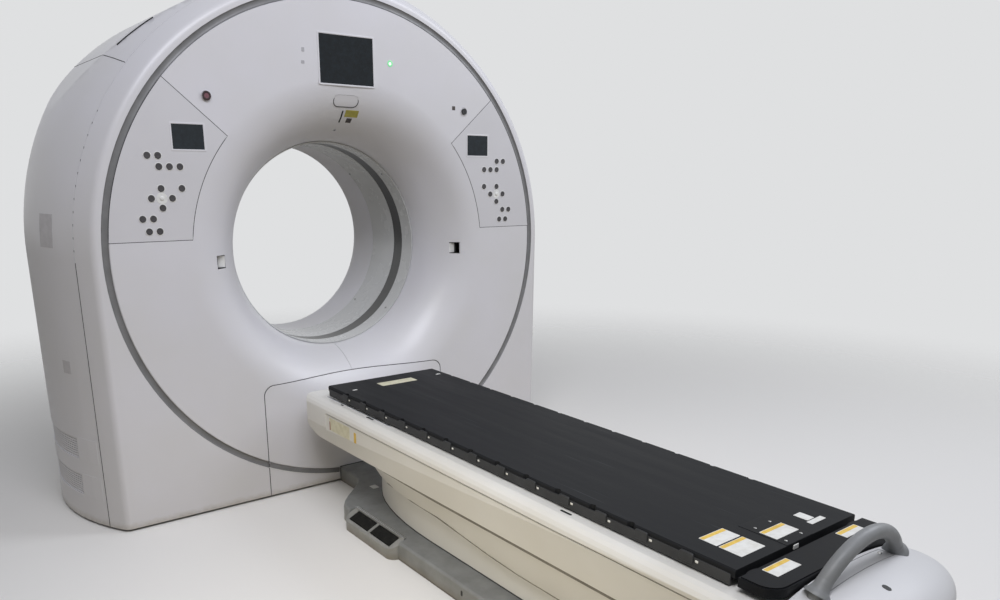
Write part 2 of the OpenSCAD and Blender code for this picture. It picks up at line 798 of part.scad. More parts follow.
// Hollow base; its upper edge is rounded and a pocket in its side takes the pedal tray
module couch_base() color("dimgray") difference() {
    union() {
        difference() {
            edge = [for (i = [0:4]) 90 * i / 4];
            loft(concat([base_side(0)], [for (a = edge) base_side(base_round * (1 - cos(a)))]),
                concat([0], [for (a = edge) base_h - base_round * (1 - sin(a))]));
            translate([0, 0, -eps]) linear_extrude(base_h - base_wall + eps)
                base_plan(base_round + base_wall);
        }
        for (x = [-base_anchor_x, base_anchor_x], y = [base_anchor_y0, base_anchor_y1])
            translate([x, y, 0]) cylinder(r = 26, h = base_h - base_wall + eps);
    }
    for (x = [-base_anchor_x, base_anchor_x], y = [base_anchor_y0, base_anchor_y1])
        translate([x, y, -eps]) cylinder(r = 8, h = base_h + 2 * eps);
    translate([0, 0, -eps]) linear_extrude(base_h + 2 * eps) tray_plan(fit);
}

pivot_x = tray_x0 + 59;
pivot_z = tray_high - 9;
pin_r = 3;
pin_in = 5;
pin_back = 5;
pin_play = 0.05;
well_play = 1;
well_d = 24;

// Places something in the tilted frame of the pedals, whose origin is their inner upper edge
module pedal_tilt() translate([pivot_x, 0, pivot_z]) rotate([0, -pedal_slope, 0]) children();

function pedal_y0(k) = tray_y0 + pedal_end + k * (pedal_l + pedal_rib);

// Hinge pin of a pedal, grown by g
module pedal_pin(k, g) pedal_tilt() translate([-pin_back, pedal_y0(k) - pin_in - 4 * g, -pedal_t / 2])
    rotate([-90, 0, 0]) cylinder(r = pin_r + g, h = pedal_l + 2 * (pin_in + 4 * g));

// Tray of the two foot pedals: its outer wall is low, and a ridge runs along its inner side
module pedal_housing() color("gray") difference() {
    intersection() {
        linear_extrude(tray_high + eps) tray_plan(0);
        slab(tray_y0 - eps, tray_y1 + eps) polygon([
            [tray_x0 - eps, 0], [tray_x0 - eps, tray_low - 6],
            [tray_x0 + 3, tray_low - 1], [tray_x0 + 8, tray_low + 1],
            [pivot_x - 2, pivot_z + 1], [pivot_x + 2, tray_high], [pivot_x + 9, tray_high],
            [pivot_x + 11, tray_high - 12], [pivot_x + 18, tray_high - 12], [pivot_x + 21, base_h],
            [tray_x0 + tray_w + eps, base_h], [tray_x0 + tray_w + eps, 0]]);
    }
    for (k = [0:1]) {
        pedal_tilt() translate([-pedal_w - 5, pedal_y0(k), -well_d])
            cube([pedal_w + 5 + well_play, pedal_l, well_d + tray_high]);
        pedal_pin(k, pin_play);
    }
}

tread_n = 5;
tread_w = 4;
tread_h = 1.2;

module pedal(k) {
    pitch = (pedal_w - 6) / tread_n;
    pedal_tilt() {
        translate([-pedal_w - 1, pedal_y0(k) + 1, -pedal_t]) cube([pedal_w, pedal_l - 2, pedal_t]);
        for (i = [0:tread_n - 1]) translate([-pedal_w + 3 + i * pitch, pedal_y0(k) + 6, -eps])
            cube([tread_w, pedal_l - 12, tread_h + eps]);
    }
    pedal_pin(k, 0);
}

module up_pedal() color("black") pedal(1);
module down_pedal() color("black") pedal(0);

skirt_corner = 70;

// +X side of a skirt's plan, grown by g: a rounded nose towards the gantry
function skirt_side(g) = concat(
    [for (i = [0:10]) let (a = 90 * (i + 0.5) / 10.5)
        [(skirt_half_w + g) * sin(a), skirt_y1 - skirt_nose_l + (skirt_nose_l + g) * cos(a)]],
    [for (i = [0:4]) let (a = 90 * i / 4)
        [skirt_half_w - skirt_corner + (skirt_corner + g) * cos(a),
         skirt_y0 + skirt_corner - (skirt_corner + g) * sin(a)]]);

// Upright wall between the plans grown by g0 and g1
module skirt_wall(g0, g1, z0, z1) translate([0, 0, z0]) linear_extrude(z1 - z0) difference() {
    polygon(both_sides(skirt_side(g1)));
    polygon(both_sides(skirt_side(g0)));
}

skirt_lip = 6;
skirt_z0 = base_h;
plate_z0 = body_z0 - 5;
skirt_z1 = plate_z0 - 3;

// The three skirts run one inside the other, the lower one outermost; lips close the gaps between them
module lower_skirt() color("white") {
    skirt_wall(-skirt_t, 0, skirt_z0, skirt_z1);
    skirt_wall(fit - skirt_step, -skirt_t + eps, skirt_z1 - skirt_lip, skirt_z1);
}

module middle_skirt() color("white") {
    z1 = skirt_z1 - 4;
    skirt_wall(-skirt_step - skirt_t, -skirt_step, skirt_z0 + 6, z1);
    skirt_wall(-skirt_step - eps, -skirt_t - fit, skirt_z0 + 6, skirt_z0 + 6 + skirt_lip);
    skirt_wall(fit - 2 * skirt_step, -skirt_step - skirt_t + eps, z1 - skirt_lip, z1);
}

// Grows the skirt's plan to the valance's outer face at height z
function valance_g(z) = valance_w - skirt_half_w
    + (valance_top_w - valance_w) * (z - valance_z) / (plate_z0 - valance_z);

module valance_fill(z0, z1, t) loft([skirt_side(valance_g(z0) - t), skirt_side(valance_g(z1) - t)], [z0, z1]);

valance_y1 = front_y - 1000;
valance_y0 = valance_y1 - 300;

// Upper skirt: the inner one of the nest, and round it a flared valance whose lower edge dips in a curve
module upper_skirt() color("white") {
    skirt_wall(-2 * skirt_step - skirt_t, -2 * skirt_step, skirt_z0 + 12, plate_z0 + eps);
    skirt_wall(-2 * skirt_step - eps, -skirt_step - skirt_t - fit, skirt_z0 + 12, skirt_z0 + 12 + skirt_lip);
    skirt_wall(-2 * skirt_step - skirt_t, valance_g(plate_z0) - eps, plate_z0, body_z0);
    difference() {
        valance_fill(valance_low, body_z0, 0);
        valance_fill(valance_low - eps, body_z0 + eps, skirt_t);
        cross_slab(-body_half_w, body_half_w) polygon(concat(
            [[front_y, valance_low - 2 * eps], [front_y, valance_z]],
            [for (i = [0:8]) let (u = i / 8)
                [valance_y1 + (valance_y0 - valance_y1) * u,
                 valance_z + (valance_low - valance_z) * u * u * (3 - 2 * u)]],
            [[valance_y0, valance_low - 2 * eps]]));
    }
}

column_t = 8;
column_y = front_y - column_back;

module column(k, z0, z1) {
    d = k * 2 * (column_t + fit);
    translate([0, column_y, z0]) linear_extrude(z1 - z0) difference() {
        square([column_w - d, column_l - d], center = true);
        square([column_w - d - 2 * column_t, column_l - d - 2 * column_t], center = true);
    }
}

module lift_column_lower() color("silver") column(0, base_h, body_z0 - 10);
module lift_column_middle() color("silver") column(1, base_h + 6, body_z0 - 8);
module lift_column_upper() color("silver") column(2, base_h + 12, body_z0);

body_l = nose_y - cap_y0;
crease_z = deck_z - crease_drop;
crease_y1 = nose_y - crease_back;
panel_in = 3;
groove_in = 5;
groove_h = 6;
slant_z = body_z0 + 68;
slant_a = 15.2;

// Cross-section of the couch body, moved inwards by t
function body_side(t) = concat(
    [for (i = [0:5]) let (a = 90 - 90 * i / 5)
        [body_half_w - 46 + (46 - t) * cos(a), deck_z - 40 + (40 - t) * sin(a)]],
    [[body_half_w - t, slant_z], [body_half_w - t - (slant_z - body_z0 - t) * tan(slant_a), body_z0 + t]]);

module body_section(t) polygon(both_sides(body_side(t)));

// Side view of the couch body with its rounded nose
module body_profile(t) polygon(concat(
    [[cap_y0 + t, deck_z - t], [nose_y - 8 - t, deck_z - t], [nose_y - t, deck_z - 8 - t]],
    [for (i = [0:6]) let (a = -90 * i / 6)
        [nose_y - nose_r * 1.3 + (nose_r * 1.3 - t) * cos(a), body_z0 + nose_r + (nose_r - t) * sin(a)]],
    [[cap_y0 + t, body_z0 + t]]));

// Plan of the couch body: small corners at the nose, an elliptical end under the cap
cap_round = 175;
function plan_side(w, y0, t) = concat(
    [for (i = [0:5]) let (a = 90 - 90 * i / 5) [w - 40 + (40 - t) * cos(a), nose_y - 40 + (40 - t) * sin(a)]],
    [for (i = [0:10]) let (a = 90 * i / 10) [(w - t) * cos(a), y0 + cap_round - (cap_round - t) * sin(a)]]);

module body_plan(w, y0, t) polygon(both_sides(plan_side(w, y0, t)));

// Where the slanted lower face of the +X side meets the side wall behind the nose, and how fast it rises
slant_at = [body_half_w - panel_in - 1, front_y - 607, slant_z];
slant_turn = -0.7;

module body_fill_couch(t) difference() {
    intersection() {
        slab(cap_y0 - eps, nose_y + eps) body_section(t);
        cross_slab(-body_half_w - eps, body_half_w + eps) body_profile(t);
        translate([0, 0, body_z0 - eps]) linear_extrude(body_h + 2 * eps) body_plan(body_half_w, cap_y0, t);
    }
    mirrored() translate(slant_at) rotate([0, slant_a, slant_turn])
        translate([-t, -body_l, -body_h]) cube([body_h, 2 * body_l, 2 * body_h]);
}
cap_z0 = deck_z - 42;
cap_rise = 78;
channel_y0 = cap_y1 + 40;
channel_y1 = nose_y - 60;

module couch_body() color("white") difference() {
    body_fill_couch(0);
    body_fill_couch(body_t);
    // Inset side panels under a crease
    mirrored() {
        translate([body_half_w - panel_in, cap_y0 - eps, body_z0 - eps])
            cube([body_half_w, crease_y1 - cap_y0 + eps, crease_z - body_z0 + eps]);
        translate([body_half_w - groove_in, cap_y0 - eps, crease_z - groove_h])
            cube([body_half_w, crease_y1 - cap_y0 + eps, groove_h]);
    }
    translate([-channel_half_w, channel_y0, deck_z - body_t - eps])
        cube([2 * channel_half_w, channel_y1 - channel_y0, body_t + 2 * eps]);
    translate([-body_half_w - eps, cap_y0 - eps, cap_z0])
        cube([2 * body_half_w + 2 * eps, cap_l + 2 * eps, deck_z - cap_z0 + eps]);
}

guide_x = 150;
guide_head = 15;
carriage_z0 = deck_z - 10;
guide_top = carriage_z0 - 18;

module guide_rails() color("silver") mirrored() slab(channel_y0 + 20, channel_y1 - 60) {
    translate([guide_x - 5, body_z0 + body_t]) square([10, guide_top - body_z0 - body_t]);
    translate([guide_x - 25, body_z0 + body_t]) square([50, 8]);
    translate([guide_x - guide_head, guide_top - 12]) square([2 * guide_head, 12]);
}

carriage_l = 1080;
carriage_y0 = table_y0 + 30;
carriage_half_w = channel_half_w - 8;

module carriage() color("gray") {
    translate([-carriage_half_w, carriage_y0, carriage_z0])
        cube([2 * carriage_half_w, carriage_l, table_z - table_t - carriage_z0]);
    mirrored() for (y = [carriage_y0 + 60, carriage_y0 + carriage_l - 180])
        translate([guide_x - 24, y, guide_top - 14]) difference() {
            cube([48, 120, 14 + carriage_z0 - guide_top + eps]);
            translate([24 - guide_head - fit, -eps, -eps])
                cube([2 * (guide_head + fit), 120 + 2 * eps, 14 + fit + eps]);
        }
}

notch_y1 = table_y1 - 161;
notch_n = floor((table_l - 161 - 60) / notch_pitch);

module tabletop() color("black") difference() {
    slab(table_y0, table_y1) polygon([
        [-table_half_w, table_z - table_t + 8], [-table_half_w + 10, table_z - table_t],
        [table_half_w - 10, table_z - table_t], [table_half_w, table_z - table_t + 8],
        [table_half_w, table_z - 4], [table_half_w - 4, table_z],
        [-table_half_w + 4, table_z], [-table_half_w, table_z - 4]]);
    mirrored() for (i = [0:notch_n - 1])
        translate([table_half_w + 3, notch_y1 - i * notch_pitch, table_z - table_t - eps])
            cylinder(r = notch_r, h = table_t + 2 * eps, $fn = 48);
}

// Separate padded end behind the tabletop, on the same carriage
foot_z = table_z - 6;
arm_half_w = 120;
arm_t = 8;
handle_tube_r = 18;
module foot_plan(g) {
    translate([-table_half_w - 8 + g, foot_y0 + 50]) square([2 * (table_half_w + 8 - g), foot_l - 50 - g]);
    translate([-table_half_w + 42, foot_y0 + g]) square([2 * (table_half_w - 42), foot_l - 2 * g]);
    for (s = [-1, 1]) translate([s * (table_half_w - 42), foot_y0 + 50]) circle(50 - g);
}
module foot_piece() color("black") {
    translate([0, 0, foot_z - 26]) linear_extrude(23) foot_plan(0);
    translate([0, 0, foot_z - 26]) linear_extrude(26) foot_plan(4);
    // Arm back to the carriage
    translate([-arm_half_w, foot_y0 + 30, foot_z - 26 - arm_t])
        cube([2 * arm_half_w, carriage_y0 - foot_y0 - 30, arm_t + eps]);
}

// Lid of the couch's far end: the body's crease runs round under it
module end_cap_solid() union() {
    intersection() {
        hull() {
            translate([0, cap_y0 + cap_round, cap_z0])
                scale([body_half_w, cap_round, cap_rise]) sphere(1, $fn = 72);
            translate([0, cap_y1 - 8, cap_z0]) scale([body_half_w - 4, 8, cap_rise]) sphere(1, $fn = 72);
        }
        translate([-body_half_w, cap_y0 - eps, cap_z0])
            cube([2 * body_half_w, cap_l + 2 * eps, cap_rise + eps]);
    }
}

handle_r = 199;
handle_a = 66;
handle_lean = 8;

// Bowed handle over the end cap, its ends let into the cap
module handle_solid(r) translate([0, cap_y1 - 22, table_z + 99 - handle_r - handle_tube_r])
    rotate([90 + handle_lean, 0, 0]) rotate([0, 0, 90 - handle_a])
        rotate_extrude(angle = 2 * handle_a) translate([handle_r, 0]) circle(r, $fn = 48);

module handle() color("darkgray") handle_solid(handle_tube_r);

module end_cap() color("white") difference() {
    end_cap_solid();
    handle_solid(handle_tube_r + fit);
}

gantry_frame();
leveling_feet();
main_bearing();
front_cover();
front_surround();
ring_trim();
service_cover();
left_side_cover();
right_side_cover();
top_cover();
rear_surround();
rear_cover();
front_liner();
scan_window();
rear_liner();
left_panel();
right_panel();
left_display();
main_display();
laser_windows();
intercom_cover();
status_lamp();
left_stop_button();
right_stop_button();
rotor_drum();
xray_tube();
collimator();
detector_arc();
hv_generator();
couch_base();
pedal_housing();
up_pedal();
down_pedal();
lower_skirt();
middle_skirt();
lift_column_lower();
lift_column_middle();
lift_column_upper();
upper_skirt();
couch_body();
guide_rails();
carriage();
tabletop();
foot_piece();
end_cap();
handle();
for (i = [0:len(keys) - 1]) left_key(i);
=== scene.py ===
import math
import bmesh
import bpy
import numpy as np
from mathutils import Matrix, Vector
from mathutils.bvhtree import BVHTree


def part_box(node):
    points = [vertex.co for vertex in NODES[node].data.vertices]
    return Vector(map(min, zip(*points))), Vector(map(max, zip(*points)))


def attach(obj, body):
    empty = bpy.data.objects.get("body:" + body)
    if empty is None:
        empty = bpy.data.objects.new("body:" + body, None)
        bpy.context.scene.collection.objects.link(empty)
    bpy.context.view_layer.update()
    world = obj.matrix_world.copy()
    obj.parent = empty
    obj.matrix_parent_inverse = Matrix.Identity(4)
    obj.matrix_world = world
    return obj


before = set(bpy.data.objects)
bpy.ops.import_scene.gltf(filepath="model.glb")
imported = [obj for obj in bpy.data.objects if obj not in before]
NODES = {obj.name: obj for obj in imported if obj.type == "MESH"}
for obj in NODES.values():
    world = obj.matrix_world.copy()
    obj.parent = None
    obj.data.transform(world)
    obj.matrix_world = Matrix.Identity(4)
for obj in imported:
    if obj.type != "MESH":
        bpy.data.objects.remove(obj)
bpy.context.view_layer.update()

X, Y, Z = Vector((1, 0, 0)), Vector((0, 1, 0)), Vector((0, 0, 1))
FACE_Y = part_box("front_cover")[0].y
PANEL_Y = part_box("left_panel")[0].y
DECK_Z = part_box("couch_body")[1].z
TABLE_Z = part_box("tabletop")[1].z
KEYS = ["left_key_%d" % i for i in range(1, 15)]
LEVEL = 2e-5  # corners this near a plane, in metres, count as on it


def linear(hex_code):
    """An sRGB hex value as linear RGBA."""
    out = []
    for i in (0, 2, 4):
        c = int(hex_code[i:i + 2], 16) / 255
        out.append(c / 12.92 if c <= 0.04045 else ((c + 0.055) / 1.055) ** 2.4)
    return out + [1.0]


# Camera at the photograph's place, from a fit to the object's edges; angles in radians
CAMERA_PLACE = (-1.7060, -3.5254, 1.3890)
YAW, PITCH, ROLL = 0.6599, -0.2795, 0.0082
SENSOR_MM, LENS_MM = 36, 28.79
SHIFT_X, SHIFT_Y = 0.01316, 0.1004


def aim_camera():
    """Makes the camera and hands it to the scene."""
    data = bpy.data.cameras.new("view_camera")
    cam = bpy.data.objects.new("view_camera", data)
    bpy.context.scene.collection.objects.link(cam)
    fwd = Vector((math.sin(YAW) * math.cos(PITCH), math.cos(YAW) * math.cos(PITCH), math.sin(PITCH)))
    level_right = Vector((math.cos(YAW), -math.sin(YAW), 0))
    level_up = level_right.cross(fwd)
    right = level_right * math.cos(ROLL) + level_up * math.sin(ROLL)
    up = level_up * math.cos(ROLL) - level_right * math.sin(ROLL)
    turn = Matrix((right, up, -fwd)).transposed().to_4x4()
    cam.matrix_world = Matrix.Translation(CAMERA_PLACE) @ turn
    data.sensor_width = SENSOR_MM
    data.lens = LENS_MM
    data.shift_x, data.shift_y = SHIFT_X, SHIFT_Y
    data.clip_start = 0.05
    data.clip_end = 100
    bpy.context.scene.camera = cam


aim_camera()


# Materials

def add(tree, kind, settings=(), stops=(), **inputs):
    """Adds a node, or takes one that is there, with its settings and colour stops. Inputs are values or
    what links to them: a socket, or a node for its first output. A leading _ marks one by number."""
    n = tree.nodes.new(kind) if isinstance(kind, str) else kind
    for key, value in dict(settings).items():
        setattr(n, key, value)
    while len(n.color_ramp.elements if stops else ()) < len(stops):
        n.color_ramp.elements.new(0.5)
    for e, (pos, tone) in zip(n.color_ramp.elements if stops else (), stops):
        e.position = pos
        e.color = linear(tone) if isinstance(tone, str) else (tone, tone, tone, 1)
    for key, value in inputs.items():
        sock = n.inputs[int(key[1:])] if key[0] == "_" else n.inputs[key.replace("_", " ")]
        if isinstance(value, bpy.types.Node):
            value = value.outputs[0]
        if isinstance(value, bpy.types.NodeSocket):
            tree.links.new(value, sock)
        else:
            sock.default_value = value
    return n


def new_material(name):
    """A material with its node tree, its shader and the position in metres, for the patterns."""
    mat = bpy.data.materials.new(name)
    mat.use_nodes = True
    tree = mat.node_tree
    position = add(tree, "ShaderNodeNewGeometry").outputs["Position"]
    return mat, tree, tree.nodes["Principled BSDF"], position


def per_m(mm):
    """Noise scale whose grains are about mm millimetres across."""
    return 1000.0 / mm


def near_floor_tone(t, pos, upper_tone, floor_tone, reach):
    """The upper colour above, going over to the floor tone within reach metres of the floor, in a ragged
    line.
    """
    height = add(t, "ShaderNodeSeparateXYZ", Vector=pos).outputs["Z"]
    ragged = add(t, "ShaderNodeTexNoise", Vector=pos, Scale=per_m(40), Detail=5.0, Roughness=0.7)
    level = add(t, "ShaderNodeMath", {"operation": "MULTIPLY_ADD"}, _0=ragged, _1=reach, _2=height)
    toward_floor = add(t, "ShaderNodeMapRange", Value=level, From_Min=reach * 0.45, From_Max=reach * 1.6,
                To_Min=0.75, To_Max=0.0)
    mixed = add(t, "ShaderNodeMix", {"data_type": "RGBA"}, _0=toward_floor, _6=upper_tone, _7=linear(floor_tone))
    return mixed.outputs[2]


def sprayed_cover(name, tone, dull, rough=0.34, coat=0.2, floor_tone="A39B8C"):
    """Foam-moulded polyurethane, sprayed with satin two-pack paint: an even soft gloss over faint orange
    peel, slow drifts of tone where it has yellowed, specks, wiping marks in the gloss, and a darker,
    warmer tone near the floor."""
    mat, t, s, pos = new_material(name)
    drift = add(t, "ShaderNodeTexNoise", Vector=pos, Scale=per_m(420), Detail=3.0, Roughness=0.55)
    paint = add(t, "ShaderNodeValToRGB", stops=[(0.3, dull), (0.66, tone)], Fac=drift)
    specks = add(t, "ShaderNodeTexNoise", Vector=pos, Scale=per_m(14), Detail=4.0, Roughness=0.8)
    spot = add(t, "ShaderNodeValToRGB", stops=[(0.20, 0.94), (0.27, 1.0)], Fac=specks)
    spotted = add(t, "ShaderNodeMix", {"data_type": "RGBA", "blend_type": "MULTIPLY"}, _0=0.08, _6=paint,
                  _7=spot)
    wiped = add(t, "ShaderNodeTexNoise", Vector=pos, Scale=per_m(130), Detail=6.0, Roughness=0.65)
    gloss = add(t, "ShaderNodeValToRGB", stops=[(0.35, rough), (0.75, rough + 0.07)], Fac=wiped)
    # Orange peel in waves of 7 mm, wider than the real 2 mm so that it shows
    peel = add(t, "ShaderNodeTexNoise", Vector=pos, Scale=per_m(7), Detail=1.0)
    bump = add(t, "ShaderNodeBump", Strength=0.05, Distance=0.0008, Height=peel)
    colour = near_floor_tone(t, pos, spotted.outputs[2], floor_tone, 0.035)
    add(t, s, Base_Color=colour, Roughness=gloss, Normal=bump, IOR=1.48, Coat_Weight=coat,
        Coat_Roughness=0.30)
    return mat


def moulded_plastic(name, tone, dark, rough=0.45, grain_mm=1.6, grain=0.12, floor_tone="6E675C"):
    """Injection-moulded ABS with a spark-eroded texture: fine grain that scatters light, and a second
    tone near the floor.
    """
    mat, t, s, pos = new_material(name)
    smear = add(t, "ShaderNodeTexNoise", Vector=pos, Scale=per_m(90), Detail=5.0, Roughness=0.6)
    colour = add(t, "ShaderNodeValToRGB", stops=[(0.32, dark), (0.62, tone)], Fac=smear)
    gloss = add(t, "ShaderNodeValToRGB", stops=[(0.3, rough + 0.1), (0.7, rough - 0.04)], Fac=smear)
    pits = add(t, "ShaderNodeTexNoise", Vector=pos, Scale=per_m(grain_mm), Detail=2.0)
    bump = add(t, "ShaderNodeBump", Strength=grain, Distance=0.0004, Height=pits)
    toward_floor = near_floor_tone(t, pos, colour, floor_tone, 0.03)
    add(t, s, Base_Color=toward_floor, Roughness=gloss, Normal=bump, IOR=1.49)
    return mat


def powder_coat(name, tone, dark, grain_mm=4.0):
    """Powder-coated steel: a pebbled skin with a dull shine, greyed by dust where nobody wipes."""
    mat, t, s, pos = new_material(name)
    dust = add(t, "ShaderNodeTexNoise", Vector=pos, Scale=per_m(180), Detail=6.0, Roughness=0.6)
    colour = add(t, "ShaderNodeValToRGB", stops=[(0.34, dark), (0.6, tone)], Fac=dust)
    gloss = add(t, "ShaderNodeValToRGB", stops=[(0.3, 0.36), (0.7, 0.55)], Fac=dust)
    pebble = add(t, "ShaderNodeTexVoronoi", Vector=pos, Scale=per_m(grain_mm))
    bump = add(t, "ShaderNodeBump", Strength=0.12, Distance=0.0005, Height=pebble)
    add(t, s, Base_Color=colour, Roughness=gloss, Normal=bump, IOR=1.5)
    return mat


def matt_laminate(name, tone, dark):
    """Carbon-fibre tabletop with a peel-ply finish: a matt charcoal skin whose cloth only just shows,
    with wiping streaks along the table and pale hair scratches from boards and buckles."""
    mat, t, s, pos = new_material(name)
    along = add(t, "ShaderNodeMapping", Vector=pos, Scale=(9.0, 0.6, 1.0))
    streak = add(t, "ShaderNodeTexNoise", Vector=along, Scale=2.2, Detail=6.0, Roughness=0.6)
    wiped = add(t, "ShaderNodeValToRGB", stops=[(0.3, dark), (0.7, tone)], Fac=streak)
    hair_map = add(t, "ShaderNodeMapping", Vector=pos, Rotation=(0, 0, 0.5), Scale=(150.0, 3.0, 1.0))
    hair = add(t, "ShaderNodeTexNoise", Vector=hair_map, Scale=1.0, Detail=2.0)
    scratch = add(t, "ShaderNodeValToRGB", stops=[(0.71, 0.0), (0.78, 0.4)], Fac=hair)
    colour = add(t, "ShaderNodeMix", {"data_type": "RGBA"}, _0=scratch, _6=wiped, _7=linear("55585B"))
    gloss = add(t, "ShaderNodeValToRGB", stops=[(0.3, 0.44), (0.75, 0.60)], Fac=streak)
    # Cloth tows of 4 mm; this texture has 20 bands to a unit
    cloth = add(t, "ShaderNodeTexWave", {"bands_direction": "DIAGONAL"}, Vector=pos, Scale=per_m(4) / 20,
                Distortion=0.4)
    bump = add(t, "ShaderNodeBump", Strength=0.1, Distance=0.0002, Height=cloth.outputs["Fac"])
    add(t, s, Base_Color=colour.outputs[2], Roughness=gloss, Normal=bump, IOR=1.45,
        Specular_IOR_Level=0.1)
    return mat


def gel_coat_black(name):
    """Black gel coat on a moulding: deep and glossy, with rubbed dull patches and fine scratches."""
    mat, t, s, pos = new_material(name)
    rub = add(t, "ShaderNodeTexNoise", Vector=pos, Scale=per_m(45), Detail=6.0, Roughness=0.65)
    colour = add(t, "ShaderNodeValToRGB", stops=[(0.35, "101113"), (0.7, "1A1B1E")], Fac=rub)
    gloss = add(t, "ShaderNodeValToRGB", stops=[(0.35, 0.34), (0.7, 0.46)], Fac=rub)
    fine = add(t, "ShaderNodeTexNoise", Vector=pos, Scale=per_m(2), Detail=2.0)
    bump = add(t, "ShaderNodeBump", Strength=0.05, Distance=0.0003, Height=fine)
    add(t, s, Base_Color=colour, Roughness=gloss, Normal=bump, IOR=1.5, Specular_IOR_Level=0.08)
    return mat


def display_glass(name, tone, lifted):
    """Hardened glass over a dark panel: smooth, nearly black, with finger marks that blur the shine."""
    mat, t, s, pos = new_material(name)
    marks = add(t, "ShaderNodeTexNoise", Vector=pos, Scale=per_m(22), Detail=4.0, Roughness=0.7)
    gloss = add(t, "ShaderNodeValToRGB", stops=[(0.45, 0.10), (0.75, 0.26)], Fac=marks)
    colour = add(t, "ShaderNodeValToRGB", stops=[(0.4, tone), (0.8, lifted)], Fac=marks)
    add(t, s, Base_Color=colour, Roughness=gloss, IOR=1.52, Specular_IOR_Level=0.3)
    return mat


def smoked_film(name):
    """Polyester film over the scan slot: dark, satin and slightly wrinkled round the bore."""
    mat, t, s, pos = new_material(name)
    wrinkle = add(t, "ShaderNodeTexNoise", Vector=pos, Scale=per_m(35), Detail=3.0)
    colour = add(t, "ShaderNodeValToRGB", stops=[(0.3, "1C1B1B"), (0.7, "282726")], Fac=wrinkle)
    bump = add(t, "ShaderNodeBump", Strength=0.15, Distance=0.001, Height=wrinkle)
    add(t, s, Base_Color=colour, Roughness=0.3, Normal=bump, IOR=1.6)
    return mat


def machined_metal(name, tone, dark, rough=0.32, line_mm=0.8):
    """Ground or milled metal: fine tool lines that stretch the highlights under a thin oily film."""
    mat, t, s, pos = new_material(name)
    stretch = add(t, "ShaderNodeMapping", Vector=pos, Scale=(1.0, 1.0, 14.0))
    lines = add(t, "ShaderNodeTexNoise", Vector=stretch, Scale=per_m(line_mm * 14), Detail=3.0)
    colour = add(t, "ShaderNodeValToRGB", stops=[(0.3, dark), (0.7, tone)], Fac=lines)
    gloss = add(t, "ShaderNodeValToRGB", stops=[(0.3, rough + 0.1), (0.7, rough - 0.05)], Fac=lines)
    add(t, s, Base_Color=colour, Roughness=gloss, Metallic=1.0)
    return mat


def pedal_rubber(name):
    """Moulded rubber tread: charcoal and matt, greyed where shoes rub."""
    mat, t, s, pos = new_material(name)
    rub = add(t, "ShaderNodeTexNoise", Vector=pos, Scale=per_m(30), Detail=6.0, Roughness=0.7)
    tones = [(0.35, "1B1B1A"), (0.6, "242422"), (0.8, "383733")]
    colour = add(t, "ShaderNodeValToRGB", stops=tones, Fac=rub)
    bump = add(t, "ShaderNodeBump", Strength=0.2, Distance=0.0005, Height=rub)
    add(t, s, Base_Color=colour, Roughness=0.75, Normal=bump, IOR=1.52, Specular_IOR_Level=0.1)
    return mat


def dyed_lens(name, tone, glow=0.0):
    """Polycarbonate cap or lens, dyed through: glossy, with a surface slightly worn by fingers."""
    mat, t, s, pos = new_material(name)
    worn = add(t, "ShaderNodeTexNoise", Vector=pos, Scale=per_m(3), Detail=3.0)
    gloss = add(t, "ShaderNodeValToRGB", stops=[(0.3, 0.18), (0.8, 0.4)], Fac=worn)
    add(t, s, Base_Color=linear(tone), Roughness=gloss, IOR=1.58,
        Emission_Color=linear(tone), Emission_Strength=glow)
    return mat


def label_film(name, tone, faded):
    """Polyester film plate in one plain colour: matt and unevenly faded."""
    mat, t, s, pos = new_material(name)
    fade = add(t, "ShaderNodeTexNoise", Vector=pos, Scale=per_m(25), Detail=4.0, Roughness=0.6)
    colour = add(t, "ShaderNodeValToRGB", stops=[(0.35, faded), (0.6, tone)], Fac=fade)
    gloss = add(t, "ShaderNodeValToRGB", stops=[(0.3, 0.6), (0.7, 0.42)], Fac=fade)
    add(t, s, Base_Color=colour, Roughness=gloss, IOR=1.57)
    return mat


COVER = sprayed_cover("sprayed_cover_white", "D6D5DA", "D2D1D3")
COUCH_COVER = sprayed_cover("sprayed_couch_ivory", "D8D7D3", "D1CFC9", rough=0.33, coat=0.12)
LINER = sprayed_cover("gel_coated_liner", "C4C5C4", "BDBEBD", rough=0.24, coat=0.3)
PANEL = sprayed_cover("painted_panel_grey", "D0CFD3", "CBCACD", rough=0.40, coat=0.06)
TRIM = moulded_plastic("anodised_grey_trim", "7B7B7C", "6D6D6E", rough=0.38)
FILM = smoked_film("smoked_polyester_film")
SMALL_GLASS = display_glass("small_display_glass", "1E2429", "283036")
MAIN_GLASS = display_glass("main_display_glass", "0E151A", "182128")
KEY = moulded_plastic("key_cap_charcoal", "464446", "3A383A", rough=0.42)
# Pale: painted highlight on the key lips and on the service trim's lower edge; also the pale cross parts
# and laser trays
PALE_AND_HIGHLIGHT = label_film("pale_and_painted_highlight", "E2E2E0", "D6D6D4")
STOP_RED = dyed_lens("stop_cap_red", "744A54")
STOP_RIM = dyed_lens("stop_rim_wine", "2A1419")
STOP_BLACK = dyed_lens("stop_cap_black", "1C1C1F")
LAMP = dyed_lens("lamp_lens_green", "CFF2D8", glow=0.9)
LAMP_RING = dyed_lens("lamp_ring_pale_green", "86D49B", glow=0.35)
STAND = powder_coat("powder_coated_stand", "666A6E", "575B5F")
STEEL = machined_metal("ground_steel", "A9AAAD", "8E9093")
CASTING = machined_metal("milled_aluminium", "C0C2C4", "A8AAAD", rough=0.4, line_mm=1.5)
HOUSING = powder_coat("powder_coated_housing", "878B8F", "777B7F", grain_mm=3.0)
BASE = moulded_plastic("couch_base_grey", "808281", "737473", rough=0.40, grain_mm=2.5)
TRAY = moulded_plastic("pedal_tray_silver", "8E8E8A", "7D7D79", rough=0.36, grain_mm=2.0)
PEDAL = pedal_rubber("pedal_tread_rubber")
